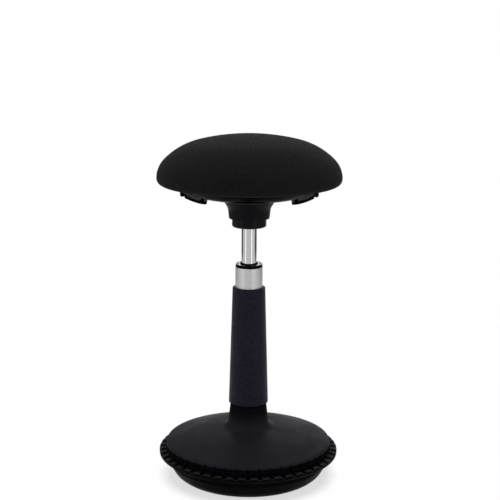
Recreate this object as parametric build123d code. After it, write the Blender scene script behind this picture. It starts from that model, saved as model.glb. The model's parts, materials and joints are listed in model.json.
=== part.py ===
from build123d import *
from math import cos, radians, sin, tan
import os

# A perching stool for a standing desk: a rubber foot that rocks on its rounded edge, a weighted base,
# a gas column with a free swivel, and a domed seat with a release paddle on each side.
# Millimetres, +Z up. The origin is on the floor, on the axis of the column.

# Clearances
RUNNING_FIT = 0.05
SLIP_FIT = 0.15
PLAY = 0.3
SOFT_GAP = 0.3

# Foot: a rubber bowl with a ribbed flange
BOWL_RADIUS = 148.4
BOWL_DRAW_IN = 16.6
BOWL_EDGE_ROUND = 32
BOWL_HEIGHT = 29
BOWL_WALL = 8
FOOT_FLOOR = 8
FOOT_HEIGHT = 54
FLANGE_REACH = 17.8
FLANGE_LOW = 43.5
FLANGE_EDGE_HEIGHT = 8.6
FLANGE_ROUND = 3
TOOTH_COUNT = 48
TREAD_GROOVE_WIDTH = 8
TREAD_GROOVE_DEPTH = 3
SOLE_RING_COUNT = 4
SOLE_RING_PITCH = 22
SOLE_RING_WIDTH = 4
SOLE_RING_DEPTH = 1.5

# Base weight, with the socket that holds the column
WEIGHT_MARGIN = 20.4
WEIGHT_THICKNESS = 14
WEIGHT_CHAMFER = 1.5
WEIGHT_HOLE_RADIUS = 12
SOCKET_FLANGE_RADIUS = 62
SOCKET_FLANGE = 5
SOCKET_WALL = 4
SOCKET_LEDGE = 6
SOCKET_LENGTH = 90
SOCKET_BOLT_CIRCLE = 46
SOCKET_BOLT_COUNT = 4

# Base cover: a moulded trumpet with a notched rim
COVER_WALL = 3
COVER_OVERHANG = 5.6
COVER_RIM_DRAFT = 1.7
COVER_RIM_HEIGHT = 14.3
COVER_SHOULDER_ROUND = 4
DOME_BULGE = 5.2
NECK_ROOT_RISE = 26.7
NECK_ROOT_ROUND = 16
NECK_FLARE = 5.3
NECK_SETBACK = 3.4
COVER_HEIGHT = 86.8
RIM_NOTCH_WIDTH = 2.4
RIM_NOTCH_DEPTH = 1.8
COVER_SCREW_INSET = 27
COVER_SCREW_COUNT = 6
COVER_BOSS_RADIUS = 5

# Column
TUBE_RADIUS = 25
TUBE_WALL = 2
TUBE_LENGTH = 371
TUBE_EDGE_ROUND = 0.8
END_PLATE = 6
BUSH_LENGTH = 70
BUSH_RECESS = 3
SLEEVE_SPACE = 5
SLEEVE_FLARE = 6.5
SLEEVE_LENGTH = 219.8
SLEEVE_WALL = 3
SLEEVE_EDGE_ROUND = 1.8

# Gas lift
CYLINDER_RADIUS = 14
CYLINDER_WALL = 2
CYLINDER_LENGTH = 364
CONE_LENGTH = 52
CONE_TOP_RADIUS = 13
VALVE_BLOCK = 54
VALVE_BORE_DEPTH = 26
BUTTON_RADIUS = 4
BUTTON_LENGTH = 26
BUTTON_ROUND = 1
GLAND_LENGTH = 20
ROD_RADIUS = 5
ROD_LENGTH = 352
ROD_STUB = 12
ROD_STUB_RADIUS = 4
ROD_TAIL = 8
COLLAR_RADIUS = 9
COLLAR_THICKNESS = 4
ROD_SHOWING = 74

# Thrust bearing and clip at the foot of the rod
RACE_INNER_RADIUS = 6
RACE_OUTER_RADIUS = 15
RACE_THICKNESS = 2
BALL_RADIUS = 2.4
BALL_SPACE = 5
BALL_CIRCLE = 10.5
BALL_COUNT = 8
CAGE_THICKNESS = 2.4
BUFFER_RADIUS = 15
BUFFER_LENGTH = 40
CLIP_WASHER_RADIUS = 10
CLIP_WASHER = 1
CLIP_RADIUS = 8
CLIP_THICKNESS = 1.5
CLIP_GROOVE_DEPTH = 1
CLIP_MOUTH = 5

# Hub under the seat
LIP_RADIUS = 31.4
LIP_HEIGHT = 16
LIP_ROUND = 3
HUB_SOCKET_RADIUS = 19
BUTTON_WELL_RADIUS = 11
WINDOW_WIDTH = 12
SHROUD_RADIUS = 37
SHROUD_WAIST_RADIUS = 38.8
SHROUD_WAIST_RISE = 18
SHROUD_FLARE_RADIUS = 48.5
SHROUD_ROUND = 20
SHROUD_WALL = 2.4

# Seat pan: a moulded dish
PAN_HOLE_RADIUS = 33
PAN_DROP = 48
PAN_KNEE_INSET = 28
PAN_KNEE_RISE = 11.5
PAN_KNEE_ROUND = 110
PAN_MARGIN = 16
PAN_RIM_WALL = 6
PAN_RIM_ROUND = 5
PAN_DEPTH = 32.4
PAN_WALL = 2.8
PAN_SCREW_INSET = 21
PAN_SCREW_COUNT = 6
PAN_BOSS_RADIUS = 6.5
PAN_SCREW_WELL_RADIUS = 4.3
PAN_SCREW_SEAT = 9

# Seat plate, board and cushion
PLATE_X = 104
PLATE_Y = 124
PLATE_THICKNESS = 3
PLATE_CORNER = 12
SEAT_BOLT_X = 36
SEAT_BOLT_Y = 48
BOARD_RADIUS = 149
BOARD_THICKNESS = 12
EDGE_PADDING = 18.8
CROWN_HEIGHT = 78.4
CROWN_TOP_SWEEP = 14
CROWN_SHOULDER_SWEEP = 31.5
CROWN_SHOULDER_RADIUS = 126
LIMB_RADIUS = 11
FABRIC = 2
HEM_GAP = 3

# Release paddles, drawn on the +X side
PADDLE_HINGE_INSET = 13
HINGE_CLEARANCE = 1.5
PADDLE_REACH = 42
PADDLE_TIP_DROP = 14.9
PADDLE_BOW = 2.45
PADDLE_THICKNESS = 4.5
PADDLE_WIDTH = 64
PADDLE_CORNER = 14
KNUCKLE_RADIUS = 4
KNUCKLE_LENGTH = 40
LUG_WIDTH = 5.5
PIN_RADIUS = 2
POST_ARM = 36
POST_WIDTH = 8
POST_THICKNESS = 6
POST_SWING = 2.5

# Rockers that turn the lift of the paddles into a push on the valve button
ROCKER_PIVOT_X = 44
ROCKER_PIVOT_DROP = 13
ROCKER_DEPTH = 6
ROCKER_WIDTH = 8
ROCKER_BOSS_RADIUS = 5.5
ROCKER_INNER_X = 1
ROCKER_OVERLAP = 4
EAR_THICKNESS = 3

# Fasteners
BOLT_RADIUS = 4
BOLT_FLATS = 13
BOLT_HEAD = 5.3
BOLT_HOLE_RADIUS = 4.4
SOCKET_BOLT_GRIP = 16
SEAT_BOLT_GRIP = 12
WASHER_RADIUS = 8
WASHER = 1.6
TEE_NUT_RADIUS = 5
TEE_NUT_FLANGE_RADIUS = 9.5
TEE_NUT_FLANGE = 1.4
SCREW_RADIUS = 1.8
SCREW_HEAD_RADIUS = 3.9
SCREW_HEAD = 2.6
COVER_SCREW_LENGTH = 34
PAN_SCREW_GRIP = 9

# Radii that follow from the board, the foot and the tube
SEAT_RADIUS = BOARD_RADIUS + EDGE_PADDING
PAN_RIM_RADIUS = BOARD_RADIUS - PAN_MARGIN
PAN_KNEE_RADIUS = PAN_RIM_RADIUS - PAN_KNEE_INSET
PAN_SCREW_CIRCLE = PAN_RIM_RADIUS - PAN_SCREW_INSET
HEM_RADIUS = PAN_RIM_RADIUS + HEM_GAP
FLANGE_RADIUS = BOWL_RADIUS + FLANGE_REACH
COVER_RIM_RADIUS = BOWL_RADIUS + COVER_OVERHANG
WEIGHT_RADIUS = BOWL_RADIUS - WEIGHT_MARGIN
COVER_SCREW_CIRCLE = WEIGHT_RADIUS - COVER_SCREW_INSET
SLEEVE_TOP_RADIUS = TUBE_RADIUS + SLEEVE_SPACE
SLEEVE_LOW_RADIUS = SLEEVE_TOP_RADIUS + SLEEVE_FLARE
NECK_TOP_RADIUS = SLEEVE_LOW_RADIUS - NECK_SETBACK
NECK_ROOT_RADIUS = NECK_TOP_RADIUS + NECK_FLARE
TUBE_BORE = TUBE_RADIUS - TUBE_WALL
CYLINDER_BORE = CYLINDER_RADIUS - CYLINDER_WALL

# Radii of the crown: the first and last of its three arcs take up what the middle one leaves
TOP_END = radians(90 - CROWN_TOP_SWEEP)
SHOULDER_END = radians(90 - CROWN_TOP_SWEEP - CROWN_SHOULDER_SWEEP)
LEFT_ACROSS = SEAT_RADIUS - CROWN_SHOULDER_RADIUS * (cos(SHOULDER_END) - cos(TOP_END))
LEFT_DOWN = CROWN_HEIGHT - CROWN_SHOULDER_RADIUS * (sin(TOP_END) - sin(SHOULDER_END))
SPREAD = cos(TOP_END) * sin(SHOULDER_END) - (1 - cos(SHOULDER_END)) * (1 - sin(TOP_END))
CROWN_TOP_RADIUS = (LEFT_ACROSS * sin(SHOULDER_END) - LEFT_DOWN * (1 - cos(SHOULDER_END))) / SPREAD
CROWN_EDGE_RADIUS = (LEFT_DOWN * cos(TOP_END) - LEFT_ACROSS * (1 - sin(TOP_END))) / SPREAD

# Heights that follow from the stack of pieces
WEIGHT_TOP = FOOT_FLOOR + WEIGHT_THICKNESS
TUBE_LOW = WEIGHT_TOP + SOCKET_LEDGE
TUBE_TOP = TUBE_LOW + TUBE_LENGTH
COVER_SHOULDER = FOOT_HEIGHT + COVER_RIM_HEIGHT
COVER_TOP = FOOT_HEIGHT + COVER_HEIGHT
LIP_LOW = TUBE_TOP + ROD_SHOWING
PAN_LOW = LIP_LOW + PAN_DROP
BOARD_LOW = PAN_LOW + PAN_DEPTH
PAN_RIM_LOW = BOARD_LOW - PAN_RIM_WALL
PAN_KNEE = PAN_LOW + PAN_KNEE_RISE
BOARD_TOP = BOARD_LOW + BOARD_THICKNESS
PLATE_LOW = BOARD_LOW - PLATE_THICKNESS
CUSHION_WAIST = BOARD_LOW - FABRIC + LIMB_RADIUS
CONE_LOW = LIP_LOW
CONE_TOP = CONE_LOW + CONE_LENGTH
CYLINDER_LOW = CONE_TOP - CYLINDER_LENGTH

# Places of the linkage
PADDLE_HINGE_X = PAN_RIM_RADIUS - PADDLE_HINGE_INSET
PAN_OUTER_SLOPE = (PAN_RIM_LOW - PAN_KNEE) / PAN_KNEE_INSET
PAN_AT_HINGE = PAN_RIM_LOW - PAN_OUTER_SLOPE * PADDLE_HINGE_INSET
PADDLE_HINGE_Z = PAN_AT_HINGE - KNUCKLE_RADIUS - HINGE_CLEARANCE
POST_X = PADDLE_HINGE_X - POST_ARM
ROCKER_OUTER_X = POST_X + ROCKER_OVERLAP
ROCKER_PIVOT_Z = BOARD_LOW - ROCKER_PIVOT_DROP
ROCKER_LOW = ROCKER_PIVOT_Z - ROCKER_DEPTH / 2
BUTTON_TOP = ROCKER_LOW - PLAY
POST_TOP = ROCKER_LOW - PLAY

# Levels of the bearing stack
RACE_LOW = TUBE_LOW + END_PLATE
BALL_LOW = RACE_LOW + RACE_THICKNESS
UPPER_RACE_LOW = BALL_LOW + BALL_SPACE
COLLAR_LOW = UPPER_RACE_LOW + RACE_THICKNESS
COLLAR_TOP = COLLAR_LOW + COLLAR_THICKNESS
CLIP_WASHER_LOW = TUBE_LOW - PLAY - CLIP_WASHER
CLIP_LOW = CLIP_WASHER_LOW - CLIP_THICKNESS
ROD_LOW = TUBE_LOW - ROD_TAIL
ROD_TOP = ROD_LOW + ROD_LENGTH


def disc(radius, low, high):
    """Upright cylinder on the column axis between two heights."""
    return Pos(0, 0, low) * Cylinder(radius, high - low, align=(Align.CENTER, Align.CENTER, Align.MIN))


def ring(outer, inner, low, high):
    """Plain ring on the column axis between two radii and two heights."""
    return disc(outer, low, high) - disc(inner, low, high)


def turned(*edges):
    """Solid turned about the column axis from a closed outline of (radius, height) edges."""
    return revolve(Plane.XZ * make_face(list(edges)), Axis.Z)


def turned_polygon(*points):
    """Solid turned about the column axis from straight-sided (radius, height) points."""
    return turned(Polyline(*points, close=True))


def cross_pin(radius, length, x, z):
    """Cylinder along Y, centred at the given place."""
    return Pos(x, 0, z) * Rot(90, 0, 0) * Cylinder(radius, length)


def both_sides(piece):
    """The piece on the +X side and its copy on the -X side."""
    return [piece, Rot(0, 0, 180) * piece]


def hex_bolt(grip):
    """Hexagon bolt whose head sits below the origin and whose shank points up."""
    head = extrude(RegularPolygon(BOLT_FLATS / 2, 6, major_radius=False), -BOLT_HEAD)
    return head + disc(BOLT_RADIUS, 0, grip)


def seat_bolt_places():
    """Places of the bolts through the seat plate, at the underside of the plate."""
    return Pos(0, 0, PLATE_LOW) * GridLocations(2 * SEAT_BOLT_X, 2 * SEAT_BOLT_Y, 2, 2)


def socket_bolt_places():
    """Places of the bolts through the socket flange, on its upper face."""
    height = WEIGHT_TOP + SOCKET_FLANGE
    return Pos(0, 0, height) * PolarLocations(SOCKET_BOLT_CIRCLE, SOCKET_BOLT_COUNT)


def cover_screw_places():
    """Places of the screws from the weight into the base cover, at the underside of the weight."""
    return Pos(0, 0, FOOT_FLOOR) * PolarLocations(COVER_SCREW_CIRCLE, COVER_SCREW_COUNT)


def pan_screw_places():
    """Places of the screws from the pan into the board, where their heads seat."""
    start = 180 / PAN_SCREW_COUNT
    return Pos(0, 0, BOARD_LOW - PAN_SCREW_SEAT) * PolarLocations(PAN_SCREW_CIRCLE, PAN_SCREW_COUNT, start)


# Foot and base


def make_foot_tread():
    """Rubber bowl with a rounded rocking edge and a flange ribbed by radial grooves."""
    inner_top = BOWL_RADIUS - BOWL_WALL
    flange_edge = FLANGE_LOW + FLANGE_EDGE_HEIGHT
    root_round = FLANGE_ROUND / 2
    outside = FilletPolyline(
        (0, 0),
        (BOWL_RADIUS - BOWL_DRAW_IN, 0),
        (BOWL_RADIUS, BOWL_HEIGHT),
        (BOWL_RADIUS, FLANGE_LOW),
        (FLANGE_RADIUS, FLANGE_LOW),
        (FLANGE_RADIUS, flange_edge),
        (COVER_RIM_RADIUS, FOOT_HEIGHT),
        (inner_top, FOOT_HEIGHT),
        radius=[BOWL_EDGE_ROUND, FLANGE_ROUND, root_round, FLANGE_ROUND, root_round, FLANGE_ROUND],
    )
    inside = Polyline(
        (inner_top, FOOT_HEIGHT),
        (inner_top, BOWL_HEIGHT),
        (WEIGHT_RADIUS + PLAY, FOOT_FLOOR),
        (0, FOOT_FLOOR),
        (0, 0),
    )
    tread = turned(outside, inside)
    groove_start = COVER_RIM_RADIUS + PLAY
    groove = Pos(0, 0, flange_edge - TREAD_GROOVE_DEPTH) * Box(
        FLANGE_RADIUS,
        TREAD_GROOVE_WIDTH,
        FOOT_HEIGHT,
        align=(Align.MIN, Align.CENTER, Align.MIN),
    )
    cuts = [place * groove for place in PolarLocations(groove_start, TOOTH_COUNT)]
    for step in range(1, SOLE_RING_COUNT + 1):
        ring_radius = step * SOLE_RING_PITCH
        cuts.append(ring(ring_radius + SOLE_RING_WIDTH, ring_radius, 0, SOLE_RING_DEPTH))
    return tread - cuts


def make_weight_disc():
    """Cast disc that keeps the stool upright, drilled for the socket bolts and the cover screws."""
    weight = ring(WEIGHT_RADIUS, WEIGHT_HOLE_RADIUS, FOOT_FLOOR, WEIGHT_TOP)
    rims = weight.edges().filter_by(GeomType.CIRCLE).group_by(SortBy.RADIUS)[-1]
    weight = chamfer(rims, WEIGHT_CHAMFER)
    bolt_hole = disc(BOLT_RADIUS + SLIP_FIT, -SOCKET_FLANGE - WEIGHT_THICKNESS, 0)
    screw_hole = countersunk_screw(SLIP_FIT)
    holes = [place * bolt_hole for place in socket_bolt_places()]
    holes += [place * screw_hole for place in cover_screw_places()]
    return weight - holes


def countersunk_screw(growth=0.0):
    """Countersunk screw pointing up from the origin, grown by a clearance to cut its own hole."""
    head_radius = SCREW_HEAD_RADIUS + growth
    shank_radius = SCREW_RADIUS + growth
    return turned_polygon(
        (0, 0),
        (head_radius, 0),
        (shank_radius, SCREW_HEAD),
        (shank_radius, COVER_SCREW_LENGTH + growth),
        (0, COVER_SCREW_LENGTH + growth),
    )


def make_base_socket():
    """Steel socket on a flange, with a ledge that the column stands on."""
    bore = TUBE_RADIUS + SLIP_FIT
    outer = bore + SOCKET_WALL
    flange_top = WEIGHT_TOP + SOCKET_FLANGE
    socket = turned_polygon(
        (WEIGHT_HOLE_RADIUS, WEIGHT_TOP),
        (SOCKET_FLANGE_RADIUS, WEIGHT_TOP),
        (SOCKET_FLANGE_RADIUS, flange_top),
        (outer, flange_top),
        (outer, WEIGHT_TOP + SOCKET_LENGTH),
        (bore, WEIGHT_TOP + SOCKET_LENGTH),
        (bore, TUBE_LOW),
        (WEIGHT_HOLE_RADIUS, TUBE_LOW),
    )
    hole = disc(BOLT_HOLE_RADIUS, -SOCKET_FLANGE, 0)
    return socket - [place * hole for place in socket_bolt_places()]


def make_socket_bolts():
    """Hexagon bolts that hold the socket to the weight, heads up."""
    bolt = Pos(0, 0, WASHER) * Rot(180, 0, 0) * hex_bolt(SOCKET_BOLT_GRIP)
    return Compound([place * bolt for place in socket_bolt_places()])


def make_socket_washers():
    """Washers under the heads of the socket bolts."""
    washer = ring(WASHER_RADIUS, BOLT_HOLE_RADIUS, 0, WASHER)
    return Compound([place * washer for place in socket_bolt_places()])


def cover_line(inset):
    """Line of the base cover from its rim to the top of its neck, moved in by an inset."""
    shoulder = Vector(COVER_RIM_RADIUS - COVER_RIM_DRAFT - inset, COVER_SHOULDER - inset)
    root = Vector(NECK_ROOT_RADIUS - inset, COVER_SHOULDER + NECK_ROOT_RISE - inset)
    crest = (shoulder + root) * 0.5 + Vector(0, DOME_BULGE)
    turn = (crest - shoulder).get_angle(root - crest)
    dome_round = (root - crest).length / 2 / tan(radians(turn / 2))
    return FilletPolyline(
        (COVER_RIM_RADIUS - inset, FOOT_HEIGHT),
        shoulder,
        crest,
        root,
        (NECK_TOP_RADIUS - inset, COVER_TOP),
        radius=[COVER_SHOULDER_ROUND - inset, dome_round, NECK_ROOT_ROUND + inset],
    )


def under_cover(inset):
    """Solid below the line of the base cover, down to the top of the foot."""
    neck = NECK_TOP_RADIUS - inset
    rim = COVER_RIM_RADIUS - inset
    closing = Polyline((neck, COVER_TOP), (0, COVER_TOP), (0, FOOT_HEIGHT), (rim, FOOT_HEIGHT))
    return turned(cover_line(inset), closing)


def make_base_cover():
    """Moulded trumpet over the weight, with a notched rim and screw bosses inside."""
    shell = under_cover(0) - under_cover(COVER_WALL)
    boss = disc(COVER_BOSS_RADIUS, WEIGHT_THICKNESS, COVER_HEIGHT + FOOT_HEIGHT)
    dome = under_cover(COVER_WALL / 2) + disc(COVER_RIM_RADIUS - COVER_WALL, WEIGHT_TOP, FOOT_HEIGHT)
    shell += [(place * boss) & dome for place in cover_screw_places()]
    hole = disc(SCREW_RADIUS + SLIP_FIT, 0, COVER_SCREW_LENGTH + SLIP_FIT)
    notch = Pos(-RIM_NOTCH_DEPTH, 0, FOOT_HEIGHT) * Box(
        2 * RIM_NOTCH_DEPTH,
        RIM_NOTCH_WIDTH,
        COVER_RIM_HEIGHT,
        align=(Align.MIN, Align.CENTER, Align.MIN),
    )
    cuts = [place * hole for place in cover_screw_places()]
    cuts += [place * notch for place in PolarLocations(COVER_RIM_RADIUS, TOOTH_COUNT)]
    return shell - cuts


def make_cover_screws():
    """Countersunk screws that hold the base cover to the weight."""
    return Compound([place * countersunk_screw() for place in cover_screw_places()])


# Column


def make_column_tube():
    """Outer tube of the gas lift, standing in the base socket."""
    tube = ring(TUBE_RADIUS, TUBE_BORE, TUBE_LOW, TUBE_TOP)
    return fillet(tube.edges().group_by(Axis.Z)[-1], TUBE_EDGE_ROUND)


def make_tube_end_plate():
    """Plate in the lower end of the tube, which the rod turns in."""
    return ring(TUBE_BORE - SLIP_FIT, ROD_RADIUS + RUNNING_FIT, TUBE_LOW, RACE_LOW)


def make_guide_bush():
    """Plastic bush in the upper end of the tube, which guides the gas cylinder."""
    top = TUBE_TOP - BUSH_RECESS
    return ring(TUBE_BORE - SLIP_FIT, CYLINDER_RADIUS + RUNNING_FIT, top - BUSH_LENGTH, top)


def make_column_sleeve():
    """Tapered sleeve over the tube, closed to the tube at both ends."""
    top = COVER_TOP + SLEEVE_LENGTH
    hug = TUBE_RADIUS + SLIP_FIT
    body = turned_polygon(
        (hug, COVER_TOP), (SLEEVE_LOW_RADIUS, COVER_TOP), (SLEEVE_TOP_RADIUS, top), (hug, top)
    )
    rims = body.edges().filter_by(GeomType.CIRCLE)
    body = fillet([edge for edge in rims if edge.radius > hug + SLIP_FIT], SLEEVE_EDGE_ROUND)
    hollow = turned_polygon(
        (hug, COVER_TOP + SLEEVE_WALL),
        (SLEEVE_LOW_RADIUS - SLEEVE_WALL, COVER_TOP + SLEEVE_WALL),
        (SLEEVE_TOP_RADIUS - SLEEVE_WALL, top - SLEEVE_WALL),
        (hug, top - SLEEVE_WALL),
    )
    return body - hollow


# Gas lift and its bearing


def make_piston_rod():
    """Rod of the gas lift, with the collar that rests on the bearing and the groove for its clip."""
    stub_low = ROD_TOP - ROD_STUB
    rod = disc(ROD_RADIUS, ROD_LOW, stub_low) + disc(ROD_STUB_RADIUS, stub_low, ROD_TOP)
    rod += disc(COLLAR_RADIUS, COLLAR_LOW, COLLAR_TOP)
    groove_radius = ROD_RADIUS - CLIP_GROOVE_DEPTH
    return rod - ring(ROD_RADIUS, groove_radius, CLIP_LOW - SLIP_FIT, CLIP_WASHER_LOW + SLIP_FIT)


def make_piston():
    """Piston on the upper end of the rod, inside the gas cylinder."""
    return ring(CYLINDER_BORE - RUNNING_FIT, ROD_STUB_RADIUS + RUNNING_FIT, ROD_TOP - ROD_STUB, ROD_TOP)


def make_race(low):
    """Flat washer that the bearing balls roll on."""
    return ring(RACE_OUTER_RADIUS, RACE_INNER_RADIUS, low, low + RACE_THICKNESS)


def ball_places():
    """Centres of the bearing balls."""
    return Pos(0, 0, BALL_LOW + BALL_SPACE / 2) * PolarLocations(BALL_CIRCLE, BALL_COUNT)


def make_ball_cage():
    """Ring that keeps the bearing balls apart."""
    middle = BALL_LOW + BALL_SPACE / 2
    half = CAGE_THICKNESS / 2
    cage = ring(RACE_OUTER_RADIUS, RACE_INNER_RADIUS, middle - half, middle + half)
    pocket = Cylinder(BALL_RADIUS + SLIP_FIT, BALL_SPACE)
    return cage - [place * pocket for place in ball_places()]


def make_bearing_balls():
    """Balls of the thrust bearing."""
    return Compound([place * Sphere(BALL_RADIUS) for place in ball_places()])


def make_buffer():
    """Rubber buffer that stops the gas cylinder at the bottom of its travel."""
    return ring(BUFFER_RADIUS, ROD_RADIUS + SLIP_FIT, COLLAR_TOP, COLLAR_TOP + BUFFER_LENGTH)


def make_clip_washer():
    """Washer between the end plate and the clip."""
    return ring(CLIP_WASHER_RADIUS, ROD_RADIUS + SLIP_FIT, CLIP_WASHER_LOW, CLIP_WASHER_LOW + CLIP_WASHER)


def make_rod_clip():
    """Open spring clip in the groove of the rod."""
    inner = ROD_RADIUS - CLIP_GROOVE_DEPTH + SLIP_FIT
    clip = ring(CLIP_RADIUS, inner, CLIP_LOW, CLIP_WASHER_LOW)
    mouth = Pos(0, -CLIP_RADIUS, CLIP_LOW) * Box(CLIP_MOUTH, 2 * CLIP_RADIUS, 2 * CLIP_THICKNESS)
    return clip - mouth


def make_gas_cylinder():
    """Pressure tube of the gas lift, with its valve block and the cone that holds the seat."""
    cylinder = turned_polygon(
        (CYLINDER_BORE, CYLINDER_LOW),
        (CYLINDER_RADIUS, CYLINDER_LOW),
        (CYLINDER_RADIUS, CONE_LOW),
        (CONE_TOP_RADIUS, CONE_TOP),
        (0, CONE_TOP),
        (0, CONE_TOP - VALVE_BLOCK),
        (CYLINDER_BORE, CONE_TOP - VALVE_BLOCK),
    )
    return cylinder - disc(BUTTON_RADIUS + RUNNING_FIT, CONE_TOP - VALVE_BORE_DEPTH, CONE_TOP)


def make_cylinder_gland():
    """Seal pack in the lower end of the gas cylinder."""
    outer = CYLINDER_BORE - SLIP_FIT
    return ring(outer, ROD_RADIUS + RUNNING_FIT, CYLINDER_LOW, CYLINDER_LOW + GLAND_LENGTH)


def make_valve_button():
    """Button on the gas valve, under the tips of the rockers."""
    button = disc(BUTTON_RADIUS, BUTTON_TOP - BUTTON_LENGTH, BUTTON_TOP)
    return fillet(button.edges().group_by(Axis.Z)[-1], BUTTON_ROUND)


# Hub and seat structure


def make_hub_socket():
    """Socket with a tapered bore for the gas lift, a rounded lower lip and windows for the rockers."""
    lip_top = LIP_LOW + LIP_HEIGHT
    socket = turned_polygon(
        (CYLINDER_RADIUS + SLIP_FIT, LIP_LOW),
        (LIP_RADIUS, LIP_LOW),
        (LIP_RADIUS, lip_top),
        (HUB_SOCKET_RADIUS, lip_top),
        (HUB_SOCKET_RADIUS, PLATE_LOW),
        (BUTTON_WELL_RADIUS, PLATE_LOW),
        (BUTTON_WELL_RADIUS, CONE_TOP + SLIP_FIT),
        (CONE_TOP_RADIUS + SLIP_FIT, CONE_TOP + SLIP_FIT),
    )
    lip_edge = socket.edges().filter_by(GeomType.CIRCLE).group_by(Axis.Z)[0].sort_by(SortBy.RADIUS)[-1]
    socket = fillet(lip_edge, LIP_ROUND)
    window_low = CONE_TOP + ROCKER_DEPTH / 2
    window = Pos(0, 0, window_low) * Box(
        2 * LIP_RADIUS,
        WINDOW_WIDTH,
        PLATE_LOW - window_low,
        align=(Align.CENTER, Align.CENTER, Align.MIN),
    )
    return socket - window


def pivot_ear(radius, thickness, top):
    """Upright ear on the origin's cross axis, round below and square above, up to a height."""
    round_end = Rot(90, 0, 0) * Cylinder(radius, thickness)
    return round_end + Box(2 * radius, thickness, top, align=(Align.CENTER, Align.CENTER, Align.MIN))


def make_seat_plate():
    """Pressed plate under the board, with two ears for each rocker pin."""
    plate = Pos(0, 0, PLATE_LOW) * extrude(RectangleRounded(PLATE_X, PLATE_Y, PLATE_CORNER), PLATE_THICKNESS)
    ear = pivot_ear(ROCKER_BOSS_RADIUS, EAR_THICKNESS, BOARD_LOW - ROCKER_PIVOT_Z)
    ear_y = ROCKER_WIDTH / 2 + PLAY + EAR_THICKNESS / 2
    for x in (-ROCKER_PIVOT_X, ROCKER_PIVOT_X):
        plate += [Pos(x, y, ROCKER_PIVOT_Z) * ear for y in (-ear_y, ear_y)]
        plate -= cross_pin(PIN_RADIUS + RUNNING_FIT, PLATE_Y, x, ROCKER_PIVOT_Z)
    hole = disc(BOLT_HOLE_RADIUS, 0, PLATE_THICKNESS)
    return plate - [place * hole for place in seat_bolt_places()]


def make_rocker_pins():
    """Pins that the rockers turn on."""
    length = ROCKER_WIDTH + 2 * PLAY + 2 * EAR_THICKNESS
    return Compound(both_sides(cross_pin(PIN_RADIUS, length, ROCKER_PIVOT_X, ROCKER_PIVOT_Z)))


def make_seat_bolts():
    """Hexagon bolts from the seat plate into the board."""
    return Compound([place * hex_bolt(SEAT_BOLT_GRIP) for place in seat_bolt_places()])


def make_tee_nut(growth=0.0):
    """Solid form of a tee nut above the seat plate, grown by a clearance to cut its own hole."""
    top = PLATE_THICKNESS + BOARD_THICKNESS
    barrel = disc(TEE_NUT_RADIUS + growth, PLATE_THICKNESS, top)
    return barrel + disc(TEE_NUT_FLANGE_RADIUS + growth, top - TEE_NUT_FLANGE - growth, top)


def make_tee_nuts():
    """Tee nuts let into the top of the board."""
    nut = make_tee_nut() - disc(BOLT_RADIUS + RUNNING_FIT, 0, PLATE_THICKNESS + BOARD_THICKNESS)
    return Compound([place * nut for place in seat_bolt_places()])


def make_seat_board():
    """Round plywood board that carries the cushion."""
    board = disc(BOARD_RADIUS, BOARD_LOW, BOARD_TOP)
    pilot = disc(SCREW_RADIUS + RUNNING_FIT, 0, PAN_SCREW_SEAT + PAN_SCREW_GRIP)
    holes = [place * make_tee_nut(SLIP_FIT) for place in seat_bolt_places()]
    holes += [place * pilot for place in pan_screw_places()]
    return board - holes


def pan_line(inset):
    """Line of the pan from its central hole to the top of its rim, moved in by an inset."""
    rim = PAN_RIM_RADIUS - inset
    return FilletPolyline(
        (PAN_HOLE_RADIUS, PAN_LOW + inset),
        (PAN_KNEE_RADIUS, PAN_KNEE + inset),
        (rim, PAN_RIM_LOW + inset),
        (rim, BOARD_LOW),
        radius=[PAN_KNEE_ROUND, PAN_RIM_ROUND - inset],
    )


def above_pan(inset):
    """Solid between the line of the pan and the board, open at the central hole."""
    rim = PAN_RIM_RADIUS - inset
    closing = Polyline((rim, BOARD_LOW), (PAN_HOLE_RADIUS, BOARD_LOW), (PAN_HOLE_RADIUS, PAN_LOW + inset))
    return turned(pan_line(inset), closing)


def pan_underside(radius):
    """Height of the underside of the pan at a radius inside its knee."""
    slope = PAN_KNEE_RISE / (PAN_KNEE_RADIUS - PAN_HOLE_RADIUS)
    return PAN_LOW + slope * (radius - PAN_HOLE_RADIUS)


def make_seat_pan():
    """Moulded dish under the board, with screw bosses, hinge lugs and a slot for each paddle post."""
    lug_top = BOARD_LOW - PAN_WALL - PADDLE_HINGE_Z
    lug = Pos(PADDLE_HINGE_X, 0, PADDLE_HINGE_Z) * pivot_ear(KNUCKLE_RADIUS, LUG_WIDTH, lug_top)
    lug_y = KNUCKLE_LENGTH / 2 + PLAY + LUG_WIDTH / 2
    lugs = [half for y in (-lug_y, lug_y) for half in both_sides(Pos(0, y, 0) * lug)]
    dish = above_pan(0)
    pan = dish + lugs - above_pan(PAN_WALL)
    boss = disc(PAN_BOSS_RADIUS, -PAN_SCREW_CIRCLE, PAN_SCREW_SEAT)
    pan += [(place * boss) & dish for place in pan_screw_places()]
    well = disc(PAN_SCREW_WELL_RADIUS, -PAN_SCREW_CIRCLE, 0)
    hole = disc(SCREW_RADIUS + SLIP_FIT, 0, PAN_SCREW_SEAT)
    cuts = [place * cut for place in pan_screw_places() for cut in (well, hole)]
    slot_x = POST_THICKNESS + 2 * POST_SWING
    slot = Pos(POST_X, 0, PAN_LOW) * Box(slot_x, POST_WIDTH + 2 * POST_SWING, 2 * PAN_DEPTH)
    cuts += both_sides(slot)
    cuts += both_sides(cross_pin(PIN_RADIUS + RUNNING_FIT, PADDLE_WIDTH, PADDLE_HINGE_X, PADDLE_HINGE_Z))
    return pan - cuts


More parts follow.
